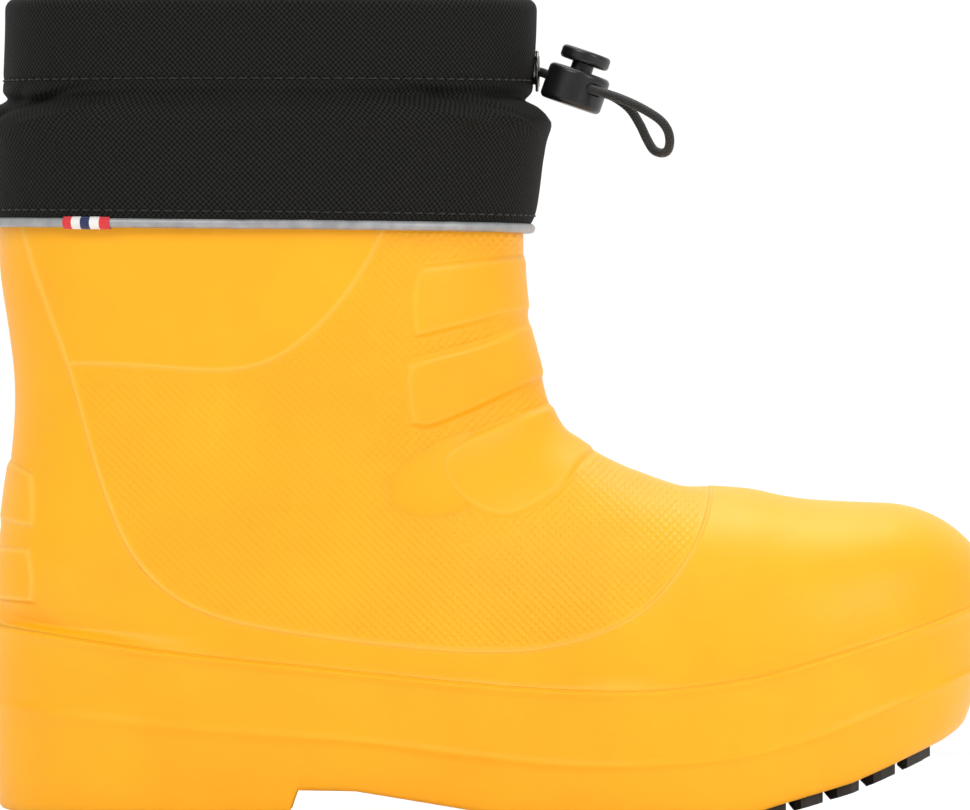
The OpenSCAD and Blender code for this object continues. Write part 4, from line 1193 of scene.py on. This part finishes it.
def make_liner():
    """The felt bootie, with a slightly lumpy, napped surface."""
    inner = np.array([oval(c, LINER_COLS) for c in hollow_cuts(SOFT_GAP + FELT_T, LINER_Z)])
    outer = np.array([oval(c, LINER_COLS) for c in hollow_cuts(SOFT_GAP, LINER_Z)])
    inner, outer = denser(inner, 3), denser(outer, 3)
    rng = np.random.default_rng(LUMP_SEED)
    lumps = rng.uniform(-1, 1, inner.shape[:2])
    for _ in range(6):
        lumps = (np.roll(lumps, 1, 1) + np.roll(lumps, -1, 1) + 2 * lumps) / 4
        lumps[1:-1] = (lumps[:-2] + 2 * lumps[1:-1] + lumps[2:]) / 4
    normal = unit(np.cross(np.gradient(inner, axis=1), np.gradient(inner, axis=0)))
    fade = np.clip(np.arange(len(inner)) / 8, 0, 1) * np.clip(np.arange(len(inner))[::-1] / 4, 0, 1)
    inner = inner + normal * (lumps * fade[:, None])[..., None] * LUMP_T
    rings = np.concatenate([inner, outer[::-1]])
    made = piece("felt_liner", rings, closed_tube(len(rings), LINER_COLS), "felt",
                 "liner_bootie")


def liner_pt(z, a, d):
    """Point of the liner at height z and angle a, moved inwards by d."""
    x, y = loop_xy(curve(SHAFT_FRONT, z) - WALL_T - d, curve(SHAFT_BACK, z) + WALL_T + d,
                   curve(RIM_W, z) - d, a)
    return np.stack([x, y, np.broadcast_to(np.asarray(z, float), x.shape)], -1)


def make_binding():
    """The bound top edge of the liner: a rounded tape with a ribbed weave."""
    a, at, _ = even_angles(300)
    low, tall = LINER_TOP + 0.1, 2.6
    middle, wide = SOFT_GAP + (FELT_T + 0.2) / 2, (FELT_T + 0.2) / 2
    section = [(middle - wide * math.cos(t)**0.5 if math.cos(t) > 0 else
                middle + wide * (-math.cos(t))**0.5, low + tall * math.sin(t)**0.8)
               for t in np.linspace(0, math.pi, 15)]
    section = [(middle - wide, low)] + section[1:-1] + [(middle + wide, low)]
    rings = np.array([liner_pt(z, a, d) for d, z in section])
    yarn = yarn_grid(at, np.arange(len(section)) * 0.6)
    faces = grid_faces(len(section), len(a), wrap_rows=True, wrap_columns=True)
    piece("binding_tape", rings, faces, "seam_tape", "liner_binding", yarn=yarn)


def make_pull_loop():
    """A folded webbing loop at the liner's back, sewn down at its foot."""
    width, thick, radius, tall = 14.0, 1.0, 2.2, 18.0
    base = liner_pt(np.array([LINER_TOP]), np.array([180.0]), SOFT_GAP)[0]
    x, z = base[0] + FELT_T + 3.6, base[2] - 6
    middle = radius - thick / 2
    line = [(-middle, h) for h in np.linspace(0, tall, 14)]
    line += [(-middle * math.cos(t), tall + middle * math.sin(t))
             for t in np.linspace(0, math.pi, 13)[1:-1]]
    line += [(middle, h) for h in np.linspace(tall, 0, 14)]
    line = np.array(line)
    line[:, 0] += 0.35 * np.sin(line[:, 1] / tall * math.pi)
    ahead = unit(np.gradient(line, axis=0))
    out = np.stack([-ahead[:, 1], ahead[:, 0]], 1)
    across = np.linspace(-width / 2, width / 2, 15)
    rows = [line + out * thick / 2, line - out * thick / 2]
    sheet_rows = []
    for surface, order in ((rows[0], across), (rows[1], across[::-1])):
        for y in order:
            sheet_rows.append(np.stack([x + surface[:, 0], np.full(len(line), y),
                                        z + surface[:, 1]], 1))
    rings = np.array(sheet_rows)
    run = run_length(line)
    yarn = yarn_grid(run, np.concatenate([across, across[::-1]]))
    count = len(line)
    faces = grid_faces(len(rings), count, wrap_rows=True)
    faces += [tuple(i * count for i in range(len(rings))),
              tuple(i * count + count - 1 for i in reversed(range(len(rings))))]
    made = piece("pull_tape", rings, faces, "seam_tape", "liner_pull_loop", yarn=yarn)


def make_bed_layer(name, low, thick, slot_name, node, round_edge):
    """One layer of the footbed: a rounded plan, a soft upper edge and a dished top."""
    count_x, count_y = 120, 44
    x0, x1 = BED_FLOOR[0][0], BED_FLOOR[-1][0]
    x = (x0 + x1) / 2 - (x1 - x0) / 2 * np.cos(np.linspace(0, math.pi, count_x))

    def rounded(past, reach):
        """Share of the width left by an end that is rounded over its last reach."""
        return np.sqrt(np.maximum(1 - np.maximum(past / reach, 0)**2, 0.02))

    heel, toe = 12, 14
    width = curve(BED_W, x) * rounded(x0 + heel - x, heel) * rounded(x - x1 + toe, toe)
    v = np.linspace(-1, 1, count_y)
    floor = curve(BED_FLOOR, x) + low
    y = curve(MIDDLE, x)[:, None] + width[:, None] * v[None, :]
    top = floor[:, None] + thick - round_edge * np.abs(v[None, :])**14
    xs = np.broadcast_to(x[:, None], y.shape)
    bottom = np.broadcast_to(floor[:, None], y.shape)
    upper = np.stack([xs, y, top], -1)
    lower = np.stack([xs, y, bottom], -1)[:, ::-1]
    rings = np.concatenate([upper, lower], axis=1)
    count = rings.shape[1]
    yarn = np.stack([rings[..., 0].ravel(), rings[..., 1].ravel(), 0 * rings[..., 0].ravel()], 1)
    return piece(name, rings, closed_tube(count_x, count), slot_name, node, yarn=yarn)


make_liner()
make_binding()
make_pull_loop()
make_bed_layer("board_layer", 0, BOARD_T, "board", "insole_board", 0.2)
make_bed_layer("bed_foam_layer", BOARD_T + 0.1, BED_FOAM_T, "bed_foam", "footbed_foam",
                         0.8)
make_bed_layer("bed_cloth", BOARD_T + BED_FOAM_T + 0.2, COVER_T, "bed_cover", "footbed_cover", 0.4)

# ---- CAD nodes that keep their shape get their material ------------------------------
for node_name, thing in frame["nodes"].items():
    slot_of = {s["node"]: s["material_slot"] for s in frame["record"]["subparts"]}[node_name]
    thing.data.materials.clear()
    thing.data.materials.append(MATERIALS[slot_of])

# ---- floor and light ------------------------------------------------------------------
FLOOR_HALF = 1.0
ROOM_LIGHT, BACKDROP_LIGHT = 0.5, 1.04
LAMPS = (("key", (-0.6, -1.1, 1.3), 0.8, 11.5), ("right", (1.1, -1.0, 0.75), 0.5, 7),
         ("top", (0.1, 0.3, 1.4), 0.8, 9.5))


def make_stage():
    """A plain pale floor, a pale surround and soft studio light."""
    mesh = bpy.data.meshes.new("floor")
    h = FLOOR_HALF
    mesh.from_pydata([(-h, -h, 0), (h, -h, 0), (h, h, 0), (-h, h, 0)], [], [(0, 1, 2, 3)])
    floor = bpy.data.objects.new("floor", mesh)
    bpy.context.scene.collection.objects.link(floor)
    n = Nodes("pale_floor")
    n.set(n.shader, Roughness=0.8, Specular_IOR_Level=0.1)
    n.shader.inputs["Base Color"].default_value = (0.9, 0.9, 0.9, 1)
    mesh.materials.append(n.material)
    world = bpy.data.worlds.new("studio")
    bpy.context.scene.world = world
    world.use_nodes = True
    tree = world.node_tree
    back = tree.nodes["Background"]
    place = tree.nodes.new("ShaderNodeTexCoord")
    parts = tree.nodes.new("ShaderNodeSeparateXYZ")
    ramp = tree.nodes.new("ShaderNodeMapRange")
    for index, value in zip((1, 2, 3, 4), (-0.2, 0.7, ROOM_LIGHT, BACKDROP_LIGHT)):
        ramp.inputs[index].default_value = value
    tree.links.new(place.outputs["Generated"], parts.inputs[0])
    tree.links.new(parts.outputs["Y"], ramp.inputs[0])
    tree.links.new(ramp.outputs[0], back.inputs["Strength"])
    back.inputs["Color"].default_value = (1, 1, 1, 1)
    for name, where, size, power in LAMPS:
        light = bpy.data.lights.new(name, "AREA")
        light.size = size
        light.energy = power
        lamp = bpy.data.objects.new(name, light)
        bpy.context.scene.collection.objects.link(lamp)
        lamp.location = where
        lamp.rotation_euler = (Vector((0, 0, 0.12)) - Vector(where)).to_track_quat("-Z", "Y").to_euler()
    bpy.context.scene.view_settings.view_transform = "Standard"


make_stage()
